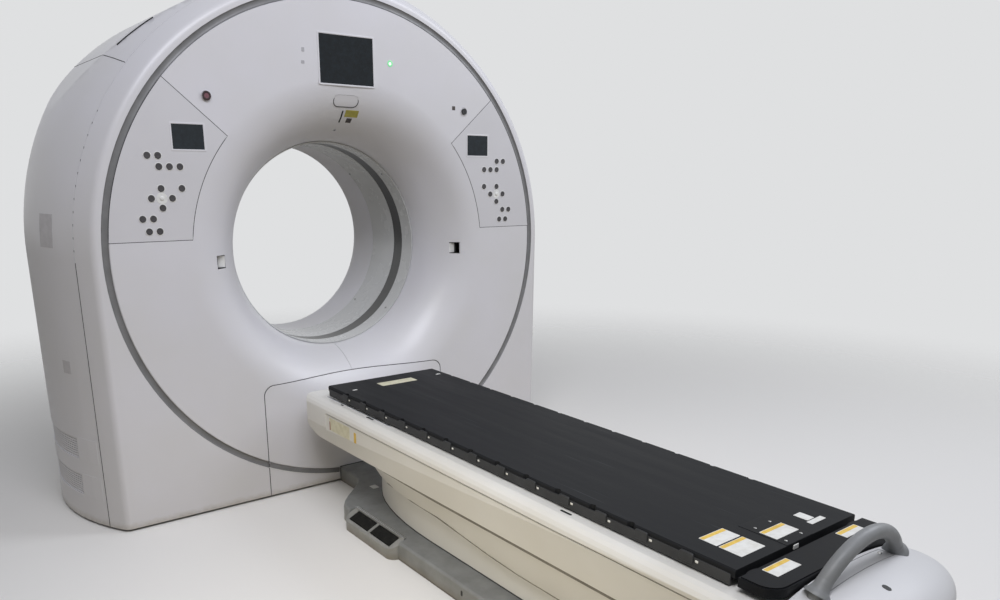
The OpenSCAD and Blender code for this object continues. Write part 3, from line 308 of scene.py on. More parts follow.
LAMINATE = matt_laminate("peel_ply_carbon", "202123", "191A1C")
GEL_COAT = gel_coat_black("black_gel_coat")
CAP = sprayed_cover("sprayed_cap_white", "C3C3C4", "BEBEBF", rough=0.45, coat=0.03)
GRIP = moulded_plastic("handle_grey", "787A7B", "6D6F70", rough=0.42)
PLATE_WHITE = label_film("plate_white", "D8D8D4", "CBCAC4")
PLATE_YELLOW = label_film("plate_yellow", "D9B64A", "CBA744")
PLATE_OLIVE = label_film("plate_olive_yellow", "A79E3F", "968E39")
PLATE_DARK = label_film("plate_dark_brown", "3A302B", "322A26")
PLATE_MID = label_film("plate_mid_grey", "ABAAAE", "A1A0A4")
PLATE_GREY = label_film("plate_cover_grey", "C0BEC1", "B9B7BA")
PLATE_BROWN = label_film("plate_brown_red", "8A4B38", "7C4433")
PLATE_IVORY = label_film("plate_ivory", "D3CFB6", "C6C1A6")
RAIL = moulded_plastic("rail_black_nylon", "232425", "1A1B1C", rough=0.5, grain_mm=2.0)
# Black: the laser windows and a printed bar on the funnel, and painted shade in each slot opening, screw
# socket and grip recess
BLACK_AND_SHADE = moulded_plastic("black_and_painted_shade", "18191A", "121313", rough=0.6)
# Dark: the seam cords between the covers, and the painted contact shadow round the couch base
SEAM_AND_SHADOW = moulded_plastic("seam_cord_and_painted_shadow", "3A3B3C", "2C2D2E", rough=0.6)
# Grey-brown: painted shade in the couch's crease, under its body and along the valance
FLANK_SHADE = moulded_plastic("painted_flank_shade", "78746B", "6B675F", rough=0.6)
INSET_LINE = moulded_plastic("cap_inset_seal", "8F8F90", "858586", rough=0.6)
FILTER = moulded_plastic("vent_filter_mat", "ACABAD", "9C9B9D", rough=0.8)
# Bright metal: painted highlights on the pedal tray's edge and along the deck
HIGHLIGHT_METAL = machined_metal("bright_metal_painted_highlight", "C9CBCD", "B4B6B8", rough=0.28)
SCREW = machined_metal("nickel_plated_screw", "B9B9B7", "9C9C9A", rough=0.24)

FINISH = {
    COVER: ["front_cover", "front_surround", "service_cover", "left_side_cover", "right_side_cover",
            "top_cover", "rear_surround", "rear_cover", "intercom_cover"],
    CAP: ["end_cap"],
    COUCH_COVER: ["couch_body", "lower_skirt", "middle_skirt", "upper_skirt"],
    LINER: ["front_liner", "rear_liner"],
    PANEL: ["left_panel", "right_panel"],
    TRIM: ["ring_trim"],
    FILM: ["scan_window"],
    SMALL_GLASS: ["left_display"],
    MAIN_GLASS: ["main_display"],
    BLACK_AND_SHADE: ["laser_windows"],
    KEY: KEYS,
    STOP_RED: ["left_stop_button"],
    STOP_BLACK: ["right_stop_button"],
    LAMP: ["status_lamp"],
    STAND: ["gantry_frame", "hv_generator"],
    STEEL: ["leveling_feet", "main_bearing", "lift_column_lower", "lift_column_middle",
            "lift_column_upper", "guide_rails"],
    CASTING: ["rotor_drum", "carriage"],
    HOUSING: ["xray_tube", "collimator", "detector_arc"],
    BASE: ["couch_base"],
    TRAY: ["pedal_housing"],
    PEDAL: ["up_pedal", "down_pedal"],
    LAMINATE: ["tabletop"],
    GEL_COAT: ["foot_piece"],
    GRIP: ["handle"],
}


SMOOTH_LIMIT = 32.0
# Nodes whose gentle creases have to stay sharp, with the limit for each, in degrees
CREASED = {"couch_body": 11.0, "upper_skirt": 14.0, "middle_skirt": 14.0, "lower_skirt": 14.0}


def smooth_normals(obj, limit):
    """Even shading over the narrow faces of a curved cover. Edges sharper than the limit stay sharp."""
    me = obj.data
    n_loop = len(me.loops)
    co = np.empty(len(me.vertices) * 3)
    me.vertices.foreach_get("co", co)
    co = np.round(co.reshape(-1, 3), 5)
    _, same = np.unique(co, axis=0, return_inverse=True)
    same = same.reshape(-1)
    vert = np.empty(n_loop, np.int64)
    me.loops.foreach_get("vertex_index", vert)
    key = same[vert]
    count = np.empty(len(me.polygons), np.int64)
    me.polygons.foreach_get("loop_total", count)
    flat = np.empty(len(me.polygons) * 3)
    me.polygons.foreach_get("normal", flat)
    area = np.empty(len(me.polygons))
    me.polygons.foreach_get("area", area)
    face = np.repeat(np.arange(len(me.polygons)), count)
    normal = flat.reshape(-1, 3)[face]
    weight = area[face][:, None] * normal
    order = np.argsort(key, kind="stable")
    edges = np.flatnonzero(np.r_[True, np.diff(key[order]) > 0, True])
    out = np.empty_like(normal)
    cos_limit = math.cos(math.radians(limit))
    for a, b in zip(edges[:-1], edges[1:]):
        idx = order[a:b]
        near = normal[idx] @ normal[idx].T > cos_limit
        out[idx] = near @ weight[idx]
    length = np.linalg.norm(out, axis=1, keepdims=True)
    out = np.where(length > 1e-12, out / np.maximum(length, 1e-12), normal)
    me.polygons.foreach_set("use_smooth", np.ones(len(me.polygons), bool))
    me.normals_split_custom_set([tuple(v) for v in out])


for material, names in FINISH.items():
    for name in names:
        data = NODES[name].data
        data.materials.clear()
        data.materials.append(material)
        smooth_normals(NODES[name], CREASED.get(name, SMOOTH_LIMIT))


# Pieces that the solids leave to this script, each seated on its carrier

def rounded(w, h, r, n):
    """Outline of a rounded rectangle about its centre; a circle where the radius is half the width."""
    r = max(min(r, w / 2, h / 2), 1e-5)  # never nothing, or a corner's points would fall together
    corners = enumerate([(1, 1), (-1, 1), (-1, -1), (1, -1)])
    return [(sx * (w / 2 - r) + r * math.cos(math.pi / 2 * (k + i / n)),
             sy * (h / 2 - r) + r * math.sin(math.pi / 2 * (k + i / n)))
            for k, (sx, sy) in corners for i in range(n + 1)]


def skin(bm, rings, hollow=False):
    """Faces between rings of points, capped at both ends or, if hollow, led back to the first ring."""
    loops = [[bm.verts.new(p) for p in ring] for ring in rings]
    pairs = list(zip(loops, loops[1:])) + ([(loops[-1], loops[0])] if hollow else [])
    for a, b in pairs:
        for i in range(len(a)):
            j = (i + 1) % len(a)
            bm.faces.new((a[i], a[j], b[j], b[i]))
    if not hollow:
        bm.faces.new(loops[0][::-1])
        bm.faces.new(loops[-1])


SURFACE = {}  # a search tree for each node that something lands on
LOOK_FROM = 0.08  # height above a point from which its place is looked for


def landed(node, point, out):
    """The place on a node's surface below a point, looking against the out direction."""
    if node not in SURFACE:
        me = NODES[node].data
        corners = [v.co for v in me.vertices]
        SURFACE[node] = BVHTree.FromPolygons(corners, [p.vertices[:] for p in me.polygons])
    hit = SURFACE[node].ray_cast(point + out * LOOK_FROM, -out)[0]
    return point if hit is None else hit


def press(bm, seat, size, steps, hollow=False, onto=None, n=6):
    """A rounded plate, button or frame on a seat, which is a centre and two axes. Size is width, height
    and corner radius, steps are the (inset, height) of each outline, onto is a curved node to lie on."""
    centre, u, v = seat
    out = u.cross(v)
    w, h, r = size
    rings = []
    for inset, height in steps:
        flat = [centre + u * a + v * b for a, b in rounded(w - 2 * inset, h - 2 * inset, r - inset, n)]
        rings.append([(landed(onto, p, out) if onto else p) + out * height for p in flat])
    skin(bm, rings, hollow)


BEAD_TURNS = [math.pi / 3 * k for k in range(6)]


def bead(bm, points, r, out, closed=False):
    """A thin round cord along a line of points; out is roughly the way that its carrier faces."""
    rings, n = [], len(points)
    for i, p in enumerate(points):
        a = points[i - 1] if closed or i else p
        b = points[(i + 1) % n] if closed or i < n - 1 else p
        d = (b - a).normalized()
        o = out(p) if callable(out) else out
        u = (o - d * o.dot(d)).normalized()
        v = d.cross(u)
        rings.append([p + (u * math.cos(t) + v * math.sin(t)) * r for t in BEAD_TURNS])
    skin(bm, rings, closed)


def dense(outline, step):
    """A closed outline with points added so that none are further apart than a step."""
    out = []
    for (x0, y0), (x1, y1) in zip(outline, outline[1:] + outline[:1]):
        n = max(1, math.ceil(math.hypot(x1 - x0, y1 - y0) / step))
        out += [(x0 + (x1 - x0) * i / n, y0 + (y1 - y0) * i / n) for i in range(n)]
    return out


def edge_loops(node, keep):
    """Closed lines round those faces of a node whose corners all pass the keep test, longest first."""
    me = NODES[node].data
    key = {v.index: tuple(round(c, 5) for c in v.co) for v in me.vertices}
    uses = {}
    for p in me.polygons:
        if all(keep(me.vertices[i].co) for i in p.vertices):
            ring = [key[i] for i in p.vertices]
            for a, b in zip(ring, ring[1:] + ring[:1]):
                if (b, a) in uses:
                    del uses[(b, a)]
                else:
                    uses[(a, b)] = True
    follow = dict(uses.keys())
    loops = []
    while follow:
        start, at = follow.popitem()
        loop = [Vector(start)]
        while at != start and at in follow:
            loop.append(Vector(at))
            at = follow.pop(at)
        loops.append(loop)
    return sorted(loops, key=lambda ps: -sum((a - b).length for a, b in zip(ps, ps[1:])))


WELD = 2e-6
SHARP = math.radians(35)


def piece(name, bm, material, body):
    """Makes an object of the mesh, smooth but for its sharp edges, that rides on a body."""
    bmesh.ops.remove_doubles(bm, verts=bm.verts, dist=WELD)
    bmesh.ops.recalc_face_normals(bm, faces=bm.faces)
    me = bpy.data.meshes.new(name)
    bm.to_mesh(me)
    bm.free()
    me.materials.append(material)
    me.polygons.foreach_set("use_smooth", np.ones(len(me.polygons), bool))
    me.set_sharp_from_angle(angle=SHARP)
    obj = bpy.data.objects.new(name, me)
    bpy.context.scene.collection.objects.link(obj)
    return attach(obj, body)


def on_face(x, z, y=FACE_Y):
    """A seat that faces the couch."""
    return Vector((x, y, z)), X, Z


def on_top(x, y, z):
    """A seat that faces up."""
    return Vector((x, y, z)), X, Y


def on_left(y, z, x):
    """A seat that faces the left-hand side."""
    return Vector((x, y, z)), -Y, Z


def middle(node):
    """The middle of a node's box."""
    low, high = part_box(node)
    return (low + high) / 2


def circle(r):
    """The size of a round plate."""
    return 2 * r, 2 * r, r


SINK = -0.0002  # how far plates and rims reach into their carrier


def flat_plate(t):
    """Steps of a thin plate with a softened edge."""
    return [(0, SINK), (0, t * 0.6), (t * 0.4, t), (0.004, t)]


def draped(node, seat, w, h, n=10):
    """A grid of places on a node's surface, under a w by h field on a seat, each with its way out."""
    centre, u, v = seat
    out = u.cross(v)
    return [[(landed(node, centre + u * w * (i / n - 0.5) + v * h * (j / n - 0.5), out), out)
             for i in range(n + 1)] for j in range(n + 1)]


def sheet(bm, grid, low, high):
    """A thin closed sheet over a grid, between two heights above it."""
    levels = [[[bm.verts.new(p + out * t) for p, out in row] for row in grid] for t in (low, high)]
    m, n = len(grid) - 1, len(grid[0]) - 1
    for verts in levels:
        for i in range(m):
            for j in range(n):
                bm.faces.new((verts[i][j], verts[i][j + 1], verts[i + 1][j + 1], verts[i + 1][j]))
    edge = ([(0, j) for j in range(n)] + [(i, n) for i in range(m)] + [(m, j) for j in range(n, 0, -1)]
            + [(i, 0) for i in range(m, 0, -1)])
    under, over = levels
    for (i, j), (k, l) in zip(edge, edge[1:] + edge[:1]):
        bm.faces.new((under[i][j], under[k][l], over[k][l], over[i][j]))


def rim(inner, outer, t):
    """Steps of a round or square rim between two insets, softened at its crown."""
    d = inner - outer
    return [(0, SINK), (0, t * 0.6), (d * 0.2, t), (d * 0.8, t), (d, t * 0.5), (d, SINK)]


# Keys: a dished cap on each, a pale rim round each, painted as the highlight on the lip of its recess,
# and the disc and dome of the four-way cross
CROSS = (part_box(KEYS[7])[0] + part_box(KEYS[8])[1]) / 2
CAP_R, RIM_IN, RIM_OUT, RIM_T = 0.0117, 0.0121, 0.0152, 0.0007
DISC_R, DOME_R = 0.0205, 0.0085
DISH = [(0, 0.0008), (0, 0.0026), (0.0004, 0.0030), (0.0012, 0.0031), (0.0055, 0.0026), (0.010, 0.0025)]
DOME = [(0, SINK), (0, 0.0012), (0.001, 0.0022), (0.003, 0.0030), (0.006, 0.0034)]
key_places = [middle(key) for key in KEYS]
for name, place in zip(KEYS, key_places):
    cap = bmesh.new()
    press(cap, on_face(place.x, place.z, PANEL_Y), circle(CAP_R), DISH)
    piece(name + "_cap", cap, KEY, name)
right_caps, lip_highlights, cross, domes = (bmesh.new() for _ in range(4))
for place in key_places:
    press(right_caps, on_face(-place.x, place.z, PANEL_Y), circle(CAP_R), DISH)
    for side in (1, -1):
        press(lip_highlights, on_face(side * place.x, place.z, PANEL_Y), circle(RIM_OUT),
              rim(RIM_OUT, RIM_IN, RIM_T), hollow=True)
for side in (1, -1):
    seat = on_face(side * CROSS.x, CROSS.z, PANEL_Y)
    press(cross, seat, circle(DISC_R), flat_plate(0.0006), n=10)
    press(domes, seat, circle(DOME_R), DOME)
piece("right_key_caps", right_caps, KEY, "stand")
piece("key_lip_highlights", lip_highlights, PALE_AND_HIGHLIGHT, "stand")
piece("cross_discs", cross, PALE_AND_HIGHLIGHT, "stand")
piece("cross_domes", domes, PALE_AND_HIGHLIGHT, "stand")

# Displays: the main one and one on each panel, each behind a pale raised bezel
bezels, right_glass = bmesh.new(), bmesh.new()
low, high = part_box("main_display")
place = middle("main_display")
press(bezels, on_face(place.x, place.z), (high.x - low.x + 0.014, high.z - low.z + 0.014, 0.006),
      rim(0.0070, 0, 0.0016), hollow=True)
low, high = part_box("left_display")
place, wide, tall = middle("left_display"), high.x - low.x, high.z - low.z
for side in (1, -1):
    press(bezels, on_face(side * place.x, place.z, PANEL_Y), (wide + 0.010, tall + 0.010, 0.004),
          rim(0.0064, 0, 0.0012), hollow=True)
press(right_glass, on_face(-place.x, place.z, PANEL_Y), (wide, tall, 0.002), flat_plate(0.0007))
piece("display_bezels", bezels, COVER, "stand")
piece("right_display_glass", right_glass, SMALL_GLASS, "stand")

# Stop buttons: a pale collar round each and a dark rim on the left one; and the lamp's glowing ring
ROUND_GAP = 0.0002
collars, lamp_ring = bmesh.new(), bmesh.new()
for bm, name, width in ((collars, "left_stop_button", 0.003), (collars, "right_stop_button", 0.003),
                        (lamp_ring, "status_lamp", 0.007)):
    low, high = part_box(name)
    r_in = (high.x - low.x) / 2 + ROUND_GAP
    press(bm, on_face((low.x + high.x) / 2, (low.z + high.z) / 2), circle(r_in + width),
          rim(r_in + width, r_in, 0.0014), hollow=True, n=10)
piece("button_collars", collars, COVER, "stand")
piece("status_lamp_ring", lamp_ring, LAMP_RING, "stand")
low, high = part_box("left_stop_button")
stop_rim, r_out = bmesh.new(), (high.x - low.x) / 2 - ROUND_GAP
press(stop_rim, on_face((low.x + high.x) / 2, (low.z + high.z) / 2, low.y), circle(r_out),
      rim(r_out, r_out * 0.55, 0.0008), hollow=True, n=10)
piece("left_stop_rim", stop_rim, STOP_RIM, "left_stop_button")

# Screw heads in the funnel and the bore liners, each with a dark disc painted as the shade in its socket:
# where each sits and where it faces
FUNNEL_SCREWS = (((-0.0069, -0.2484, 1.5531), (0.03, -0.48, -0.88)),
                 ((0.3198, -0.0832, 1.3705), (-0.71, 0, -0.71)),
                 ((0.3136, -0.0956, 0.7314), (-0.71, 0, 0.71)),
                 ((0.3227, 0.238, 1.3675), (-0.70, 0, -0.71)),
                 ((0.3149, 0.2191, 0.7328), (-0.70, 0, 0.71)))
HEAD_R, SOCKET_R = 0.0065, 0.0026
heads, socket_shades = bmesh.new(), bmesh.new()
for centre, out in FUNNEL_SCREWS:
    out = Vector(out).normalized()
    u = out.orthogonal().normalized()
    seat = (Vector(centre), u, out.cross(u))
    press(heads, seat, circle(HEAD_R), [(0, -0.002), (0, 0.0008), (0.001, 0.0020), (0.003, 0.0026)])
    press(socket_shades, seat, circle(SOCKET_R), [(0, 0.001), (0, 0.0027), (0.0006, 0.0028)], n=2)
piece("funnel_screws", heads, SCREW, "stand")
piece("funnel_screw_socket_shades", socket_shades, BLACK_AND_SHADE, "stand")

# Bare plates on the gantry: on the funnel under the intercom, on the face and on the left side cover
PLATE_T, PLATE_SINK = 0.0008, -0.0006
SIDE_X = 1.15  # a little inside the side covers at their lower part
FUNNEL_SLOPE = Vector((0, -0.62, 0.78)).normalized()
# Name, place, width and height
FUNNEL_PLATES = (("funnel_plate_yellow", (0.0393, -0.3217, 1.6174), 0.060, 0.033, PLATE_OLIVE),
                 ("funnel_plate_brown", (0.036, -0.2975, 1.5915), 0.024, 0.024, PLATE_DARK),
                 ("funnel_bar", (-0.0045, -0.308, 1.605), 0.0065, 0.060, BLACK_AND_SHADE))
# Name, material and, for each plate, its x, z, width and height
FACE_PLATES = (("face_plate_brown", PLATE_DARK, ((0.537, 1.662, 0.017, 0.017),)),
               ("face_plates_grey", PLATE_MID,
                ((-0.193, 1.845, 0.012, 0.016), (-0.196, 1.799, 0.014, 0.012))))
# For each plate its y, z, width and height
SIDE_PLATES = ((-0.133, 1.163, 0.094, 0.122), (-0.160, 0.648, 0.050, 0.050))
for name, place, w, h, material in FUNNEL_PLATES:
    plates = bmesh.new()
    sheet(plates, draped("front_cover", (Vector(place), X, FUNNEL_SLOPE), w, h), PLATE_SINK, PLATE_T)
    piece(name, plates, material, "stand")
for name, material, rows in FACE_PLATES:
    plates = bmesh.new()
    for x, z, w, h in rows:
        press(plates, on_face(x, z), (w, h, 0.002), flat_plate(PLATE_T))
    piece(name, plates, material, "stand")
plates = bmesh.new()
for y, z, w, h in SIDE_PLATES:
    sheet(plates, draped("left_side_cover", on_left(y, z, -SIDE_X), w, h), PLATE_SINK, PLATE_T)
piece("side_plates", plates, PLATE_GREY, "stand")

# Side vents: a grey filter mat close behind the slats, and a blanking plate over their front end.
# The lower vent starts at VENT_Z, the other a step above it, and at SOLID_Z the cover has no vent.
VENT_Z, VENT_H, VENT_STEP, SOLID_Z, VENT_LAP = 0.118, 0.088, 0.154, 0.240, 0.005
MAT_Y, MAT_LOW, MAT_HIGH = (-0.264, 0.376), -0.0092, -0.0072
BLANK_Y = (-0.274, -0.160)


def side_grid(node, side, span, z0, z1, n):
    """Places on the straight lower part of a side cover, read where it has no vent."""
    ys = [span[0] + (span[1] - span[0]) * i / n for i in range(n + 1)]
    xs = [landed(node, Vector((side * SIDE_X, y, SOLID_Z)), X * side).x for y in ys]
    return [[(Vector((x, y, z)), X * side) for x, y in zip(xs, ys)] for z in (z0, z1)]


for side, node in ((-1, "left_side_cover"), (1, "right_side_cover")):
    mats, blanks = bmesh.new(), bmesh.new()
    for k in (0, 1):
        z0, z1 = VENT_Z + VENT_STEP * k - VENT_LAP, VENT_Z + VENT_STEP * k + VENT_H + VENT_LAP
        sheet(mats, side_grid(node, side, MAT_Y, z0, z1, 48), MAT_LOW, MAT_HIGH)
        sheet(blanks, side_grid(node, side, BLANK_Y, z0, z1, 14), PLATE_SINK, PLATE_T)
    piece(node + "_filter_mats", mats, FILTER, "stand")
    piece(node + "_blanks", blanks, COVER, "stand")

# Seams: a dark cord in each joint between the covers, round the panels and round the intercom
ISO_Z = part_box("ring_trim")[1].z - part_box("ring_trim")[1].x
SEAM_R, SEAM_SINK = 0.0015, 0.0008
SIDE_CORD_Z = 1.595  # where the seam between front surround and side cover ends
SERVICE_CORNER = 0.046  # radius of the arch's corners
SERVICE_FLAT_Z = 0.25  # below this the service cover is flat at its edge
SHOULDER = math.radians(39.56)  # the joint between top and side covers, above the axis
ROOF_R = 1.12  # from the axis, close to the roof's surface all along the shoulders


def from_axis(p):
    """The way from the bore's axis to a point."""
    return Vector((p.x, 0, p.z - ISO_Z))


def radial_at(side, angle):
    """The way out from the bore's axis at an angle above it, on one side."""
    return Vector((side * math.cos(angle), 0, math.sin(angle)))


cords = bmesh.new()
for node in ("left_panel", "right_panel"):
    loop = edge_loops(node, lambda co: abs(co.y - PANEL_Y) < LEVEL)[0]
    bead(cords, [p + Y * SEAM_SINK for p in loop], SEAM_R, -Y, closed=True)
seam_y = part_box("front_surround")[1].y
outer_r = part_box("ring_trim")[1].x + 0.03
loop = edge_loops("front_surround", lambda co: abs(co.y - seam_y) < LEVEL)[0]
loop = [p for p in loop if p.z < SIDE_CORD_Z and from_axis(p).length > outer_r]
for side in (1, -1):
    line = sorted((p for p in loop if p.x * side > 0), key=lambda p: p.z)
    bead(cords, [p - from_axis(p).normalized() * 0.0003 for p in line], SEAM_R, from_axis)
# The service cover's outline climbs the funnel at its top, and is looked up a hair inside its edge
low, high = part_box("service_cover")
arch = [(-high.x, low.z + (high.z - SERVICE_CORNER - low.z) * i / 20) for i in range(20)]
arch += [(-high.x + SERVICE_CORNER * (1 - math.cos(a)), high.z - SERVICE_CORNER * (1 - math.sin(a)))
         for a in (math.pi / 2 * i / 10 for i in range(11))]
arch += [((SERVICE_CORNER - high.x) * (1 - i / 30), high.z) for i in range(1, 31)]
arch += [(-x, z) for x, z in arch[-2::-1]]
line = []
for x, z in arch:
    p = landed("service_cover", Vector((x * 0.999, FACE_Y, z - 0.0006)), -Y)
    line.append(Vector((x, FACE_Y if z < SERVICE_FLAT_Z else p.y, z)) + Y * SEAM_SINK * 0.5)
bead(cords, line, SEAM_R, -Y)
# The joint between top and side covers lies on a plane through the bore's axis
for side in (1, -1):
    radial = radial_at(side, SHOULDER)
    line = [landed("top_cover", Vector((0, -0.286 + 0.012 * i, ISO_Z)) + radial * ROOF_R, radial)
            for i in range(61)]
    bead(cords, [p - radial * 0.0004 for p in line], SEAM_R, radial)
# The intercom cover is a stadium on the funnel's slope
INTERCOM_UP = Vector((0, -0.377, 0.926))
low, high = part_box("intercom_cover")
centre, out = middle("intercom_cover"), X.cross(INTERCOM_UP)
stadium = rounded(high.x - low.x + 0.003, (high.z - low.z) / INTERCOM_UP.z + 0.003, 1, 8)
line = [landed("front_cover", centre + X * a + INTERCOM_UP * b, out) for a, b in stadium]
bead(cords, line, 0.0017, out, closed=True)
piece("cover_seam_cords", cords, SEAM_AND_SHADOW, "stand")

# A dark line in each shoulder, in front of the grip slot: painted shadow along the upper edge of a grip
# recess.
# It runs from GRIP_START degrees above the axis over GRIP_TURN degrees, and drifts towards the front as
# it rises.
GRIP_START, GRIP_TURN, GRIP_Y, GRIP_DRIFT = 42.3, 8.2, -0.190, 0.038
grip_shadows = bmesh.new()
for side in (1, -1):
    line = []
    for i in range(25):
        radial = radial_at(side, math.radians(GRIP_START + GRIP_TURN * i / 24))
        start = Vector((0, GRIP_Y - GRIP_DRIFT * i / 24, ISO_Z)) + radial * ROOF_R
        line.append(landed("top_cover", start, radial) + radial * 0.0006)
    bead(grip_shadows, line, 0.0028, from_axis)
piece("grip_shadow_lines", grip_shadows, BLACK_AND_SHADE, "stand")

# The trim ring carried on across the service cover, with a pale bead on its lower edge, a painted
# highlight.
# It runs from beside the couch's neck to the end of the real ring, in degrees from straight down.
TRIM_IN, TRIM_OUT, TRIM_BACK, TRIM_FRONT, TRIM_EDGE = 0.9964, 1.0175, -0.3648, -0.3690, 0.0008
TRIM_START, TRIM_END = 6.6, 26.40
TRIM_SECTION = ((TRIM_IN, TRIM_BACK), (TRIM_IN, TRIM_FRONT + TRIM_EDGE),
                (TRIM_IN + TRIM_EDGE, TRIM_FRONT), (TRIM_OUT - TRIM_EDGE, TRIM_FRONT),
                (TRIM_OUT, TRIM_FRONT + TRIM_EDGE), (TRIM_OUT, TRIM_BACK))
axis = Vector((0, 0, ISO_Z))
trim, bright = bmesh.new(), bmesh.new()
for side in (1, -1):
    turns = [Vector((side * math.sin(a), 0, -math.cos(a))) for a in
             (math.radians(TRIM_START + (TRIM_END - TRIM_START) * i / 40) for i in range(41))]
    skin(trim, [[axis + d * r + Y * y for r, y in TRIM_SECTION] for d in turns])
    bead(bright, [axis + d * (TRIM_OUT + 0.0012) + Y * (FACE_Y - 0.0002) for d in turns], 0.0016, -Y)
piece("service_trim", trim, TRIM, "stand")
piece("service_trim_highlight", bright, PALE_AND_HIGHLIGHT, "stand")

# Painted contact shadow: dark beads round the base's neck on the service cover, round its foot, and round
# the lower skirt's foot; and a bright bead on the pedal housing's top edge, a painted highlight
NECK_X, BASE_Z = 0.112, 0.070
contact_shadows = bmesh.new()
bead(contact_shadows, [Vector((x, FACE_Y - 0.0014, z)) for x, z in
             ((-NECK_X, 0.003), (-NECK_X, BASE_Z), (NECK_X, BASE_Z), (NECK_X, 0.003))], 0.0028, -Y)
loop = edge_loops("couch_base", lambda co: co.z < 1e-5)[0]
bead(contact_shadows, [p + Z * 0.0024 for p in loop], 0.0022, Z, closed=True)
loop = edge_loops("lower_skirt", lambda co: abs(co.z - BASE_Z) < LEVEL)[0]
bead(contact_shadows, [p + Z * 0.0010 for p in loop], 0.0024, Z, closed=True)
piece("couch_contact_shadows", contact_shadows, SEAM_AND_SHADOW, "stand")
tray_highlight = bmesh.new()
tray_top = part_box("pedal_housing")[1].z
for loop in edge_loops("pedal_housing", lambda co: co.z > tray_top - LEVEL):
    bead(tray_highlight, [p - Z * 0.0004 for p in loop], 0.0013, Z, closed=True)
piece("pedal_tray_highlight", tray_highlight, HIGHLIGHT_METAL, "stand")

# Laser windows: a pale tray on the inner part of each, which leaves the dark slit on its outer side
TRAY_X, TRAY_W = 0.566, 0.030
trays = bmesh.new()
low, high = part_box("laser_windows")
for side in (1, -1):
    press(trays, on_face(side * TRAY_X, (low.z + high.z) / 2, low.y),
          (TRAY_W, high.z - low.z - 0.006, 0.003), flat_plate(0.0015))
piece("laser_trays", trays, PALE_AND_HIGHLIGHT, "stand")

# Tabletop: a black rail with raised blocks and pale ticks on each side, and its bare plates
TICKS = [-0.765 - 0.1423 * k for k in range(13)]  # places along the table of the blocks and ticks
RAIL_Z, BLOCK_Z, TICK_Z = 0.499, 0.5075, 0.505
RAIL_STEPS = [(0, -0.002), (0, 0.0015), (0.001, 0.0025), (0.003, 0.0025)]
BLOCK_STEPS = [(0, 0.0), (0, 0.0045), (0.0015, 0.006), (0.004, 0.006)]
TICK_STEPS = [(0, 0.002), (0, 0.0030), (0.0008, 0.0034)]
rail, ticks = bmesh.new(), bmesh.new()
low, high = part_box("tabletop")
for side in (1, -1):
    x, u = side * high.x, Y * side
    seat = (Vector((x, (low.y + high.y) / 2, RAIL_Z)), u, Z)
    press(rail, seat, (high.y - low.y - 0.02, 0.028, 0.004), RAIL_STEPS)
    for y in TICKS:
        press(rail, (Vector((x, y + 0.024, BLOCK_Z)), u, Z), (0.042, 0.026, 0.006), BLOCK_STEPS)
        press(ticks, (Vector((x, y - 0.006, TICK_Z)), u, Z), (0.009, 0.006, 0.0015), TICK_STEPS)
piece("tabletop_rail", rail, RAIL, "couch_top")
piece("tabletop_ticks", ticks, PLATE_WHITE, "couch_top")


def plate_on_table(bm, x0, x1, y0, y1, z=TABLE_Z, t=0.0006):
    """A bare plate between two x and two y on the tabletop."""
    press(bm, on_top((x0 + x1) / 2, (y0 + y1) / 2, z), (x1 - x0, y1 - y0, 0.002), flat_plate(t))


FOOT_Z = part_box("foot_piece")[1].z
LATCH_T = 0.0009
# Each plate's x and y, from and to, and the height of the banded ones, which are white with a yellow band
HEAD_PLATES = ((-0.213, -0.193, -0.716, -0.706), (0.210, 0.232, -0.694, -0.684))
BANDED_PLATES = ((-0.193, -0.098, -2.481, -2.427, TABLE_Z), (-0.193, -0.098, -2.552, -2.486, TABLE_Z),
                 (-0.046, 0.050, -2.549, -2.498, TABLE_Z + LATCH_T),
                 (-0.199, -0.104, -2.652, -2.610, FOOT_Z), (0.117, 0.206, -2.640, -2.608, FOOT_Z))
TAG_PLATES = ((0.119, 0.151, -2.531, -2.489), (0.108, 0.173, -2.551, -2.534))
LATCH_SCREWS = ((-0.031, -2.477), (0.034, -2.476), (0.036, -2.563), (-0.033, -2.565))
white, yellow, ivory, black = (bmesh.new() for _ in range(4))
plate_on_table(ivory, -0.079, 0.091, -0.724, -0.672)
for sides in HEAD_PLATES:
    plate_on_table(white, *sides)
for x0, x1, y0, y1, z in BANDED_PLATES:
    plate_on_table(white, x0, x1, y0, y1, z)
    plate_on_table(yellow, x0 + 0.002, x1 - 0.002, y1 - 0.014, y1 - 0.002, z + 0.0005, 0.0004)
for sides in TAG_PLATES:
    plate_on_table(white, *sides)
plate_on_table(black, -0.054, 0.058, -2.5825, -2.442, TABLE_Z, LATCH_T)
piece("table_plates_white", white, PLATE_WHITE, "couch_top")
piece("table_plates_yellow", yellow, PLATE_YELLOW, "couch_top")
piece("table_plate_ivory", ivory, PLATE_IVORY, "couch_top")
piece("table_latch_plate", black, GEL_COAT, "couch_top")
dots = bmesh.new()
for x, y in LATCH_SCREWS:
    press(dots, on_top(x, y, TABLE_Z + 0.0008), circle(0.004),
          [(0, SINK), (0, 0.0005), (0.001, 0.0009), (0.0025, 0.0009)])
piece("latch_plate_screws", dots, SCREW, "couch_top")
tab = bmesh.new()
press(tab, (Vector((-0.017, low.y, 0.514)), X, Z), (0.022, 0.012, 0.002), flat_plate(0.0020))
piece("latch_tab", tab, PLATE_WHITE, "couch_top")

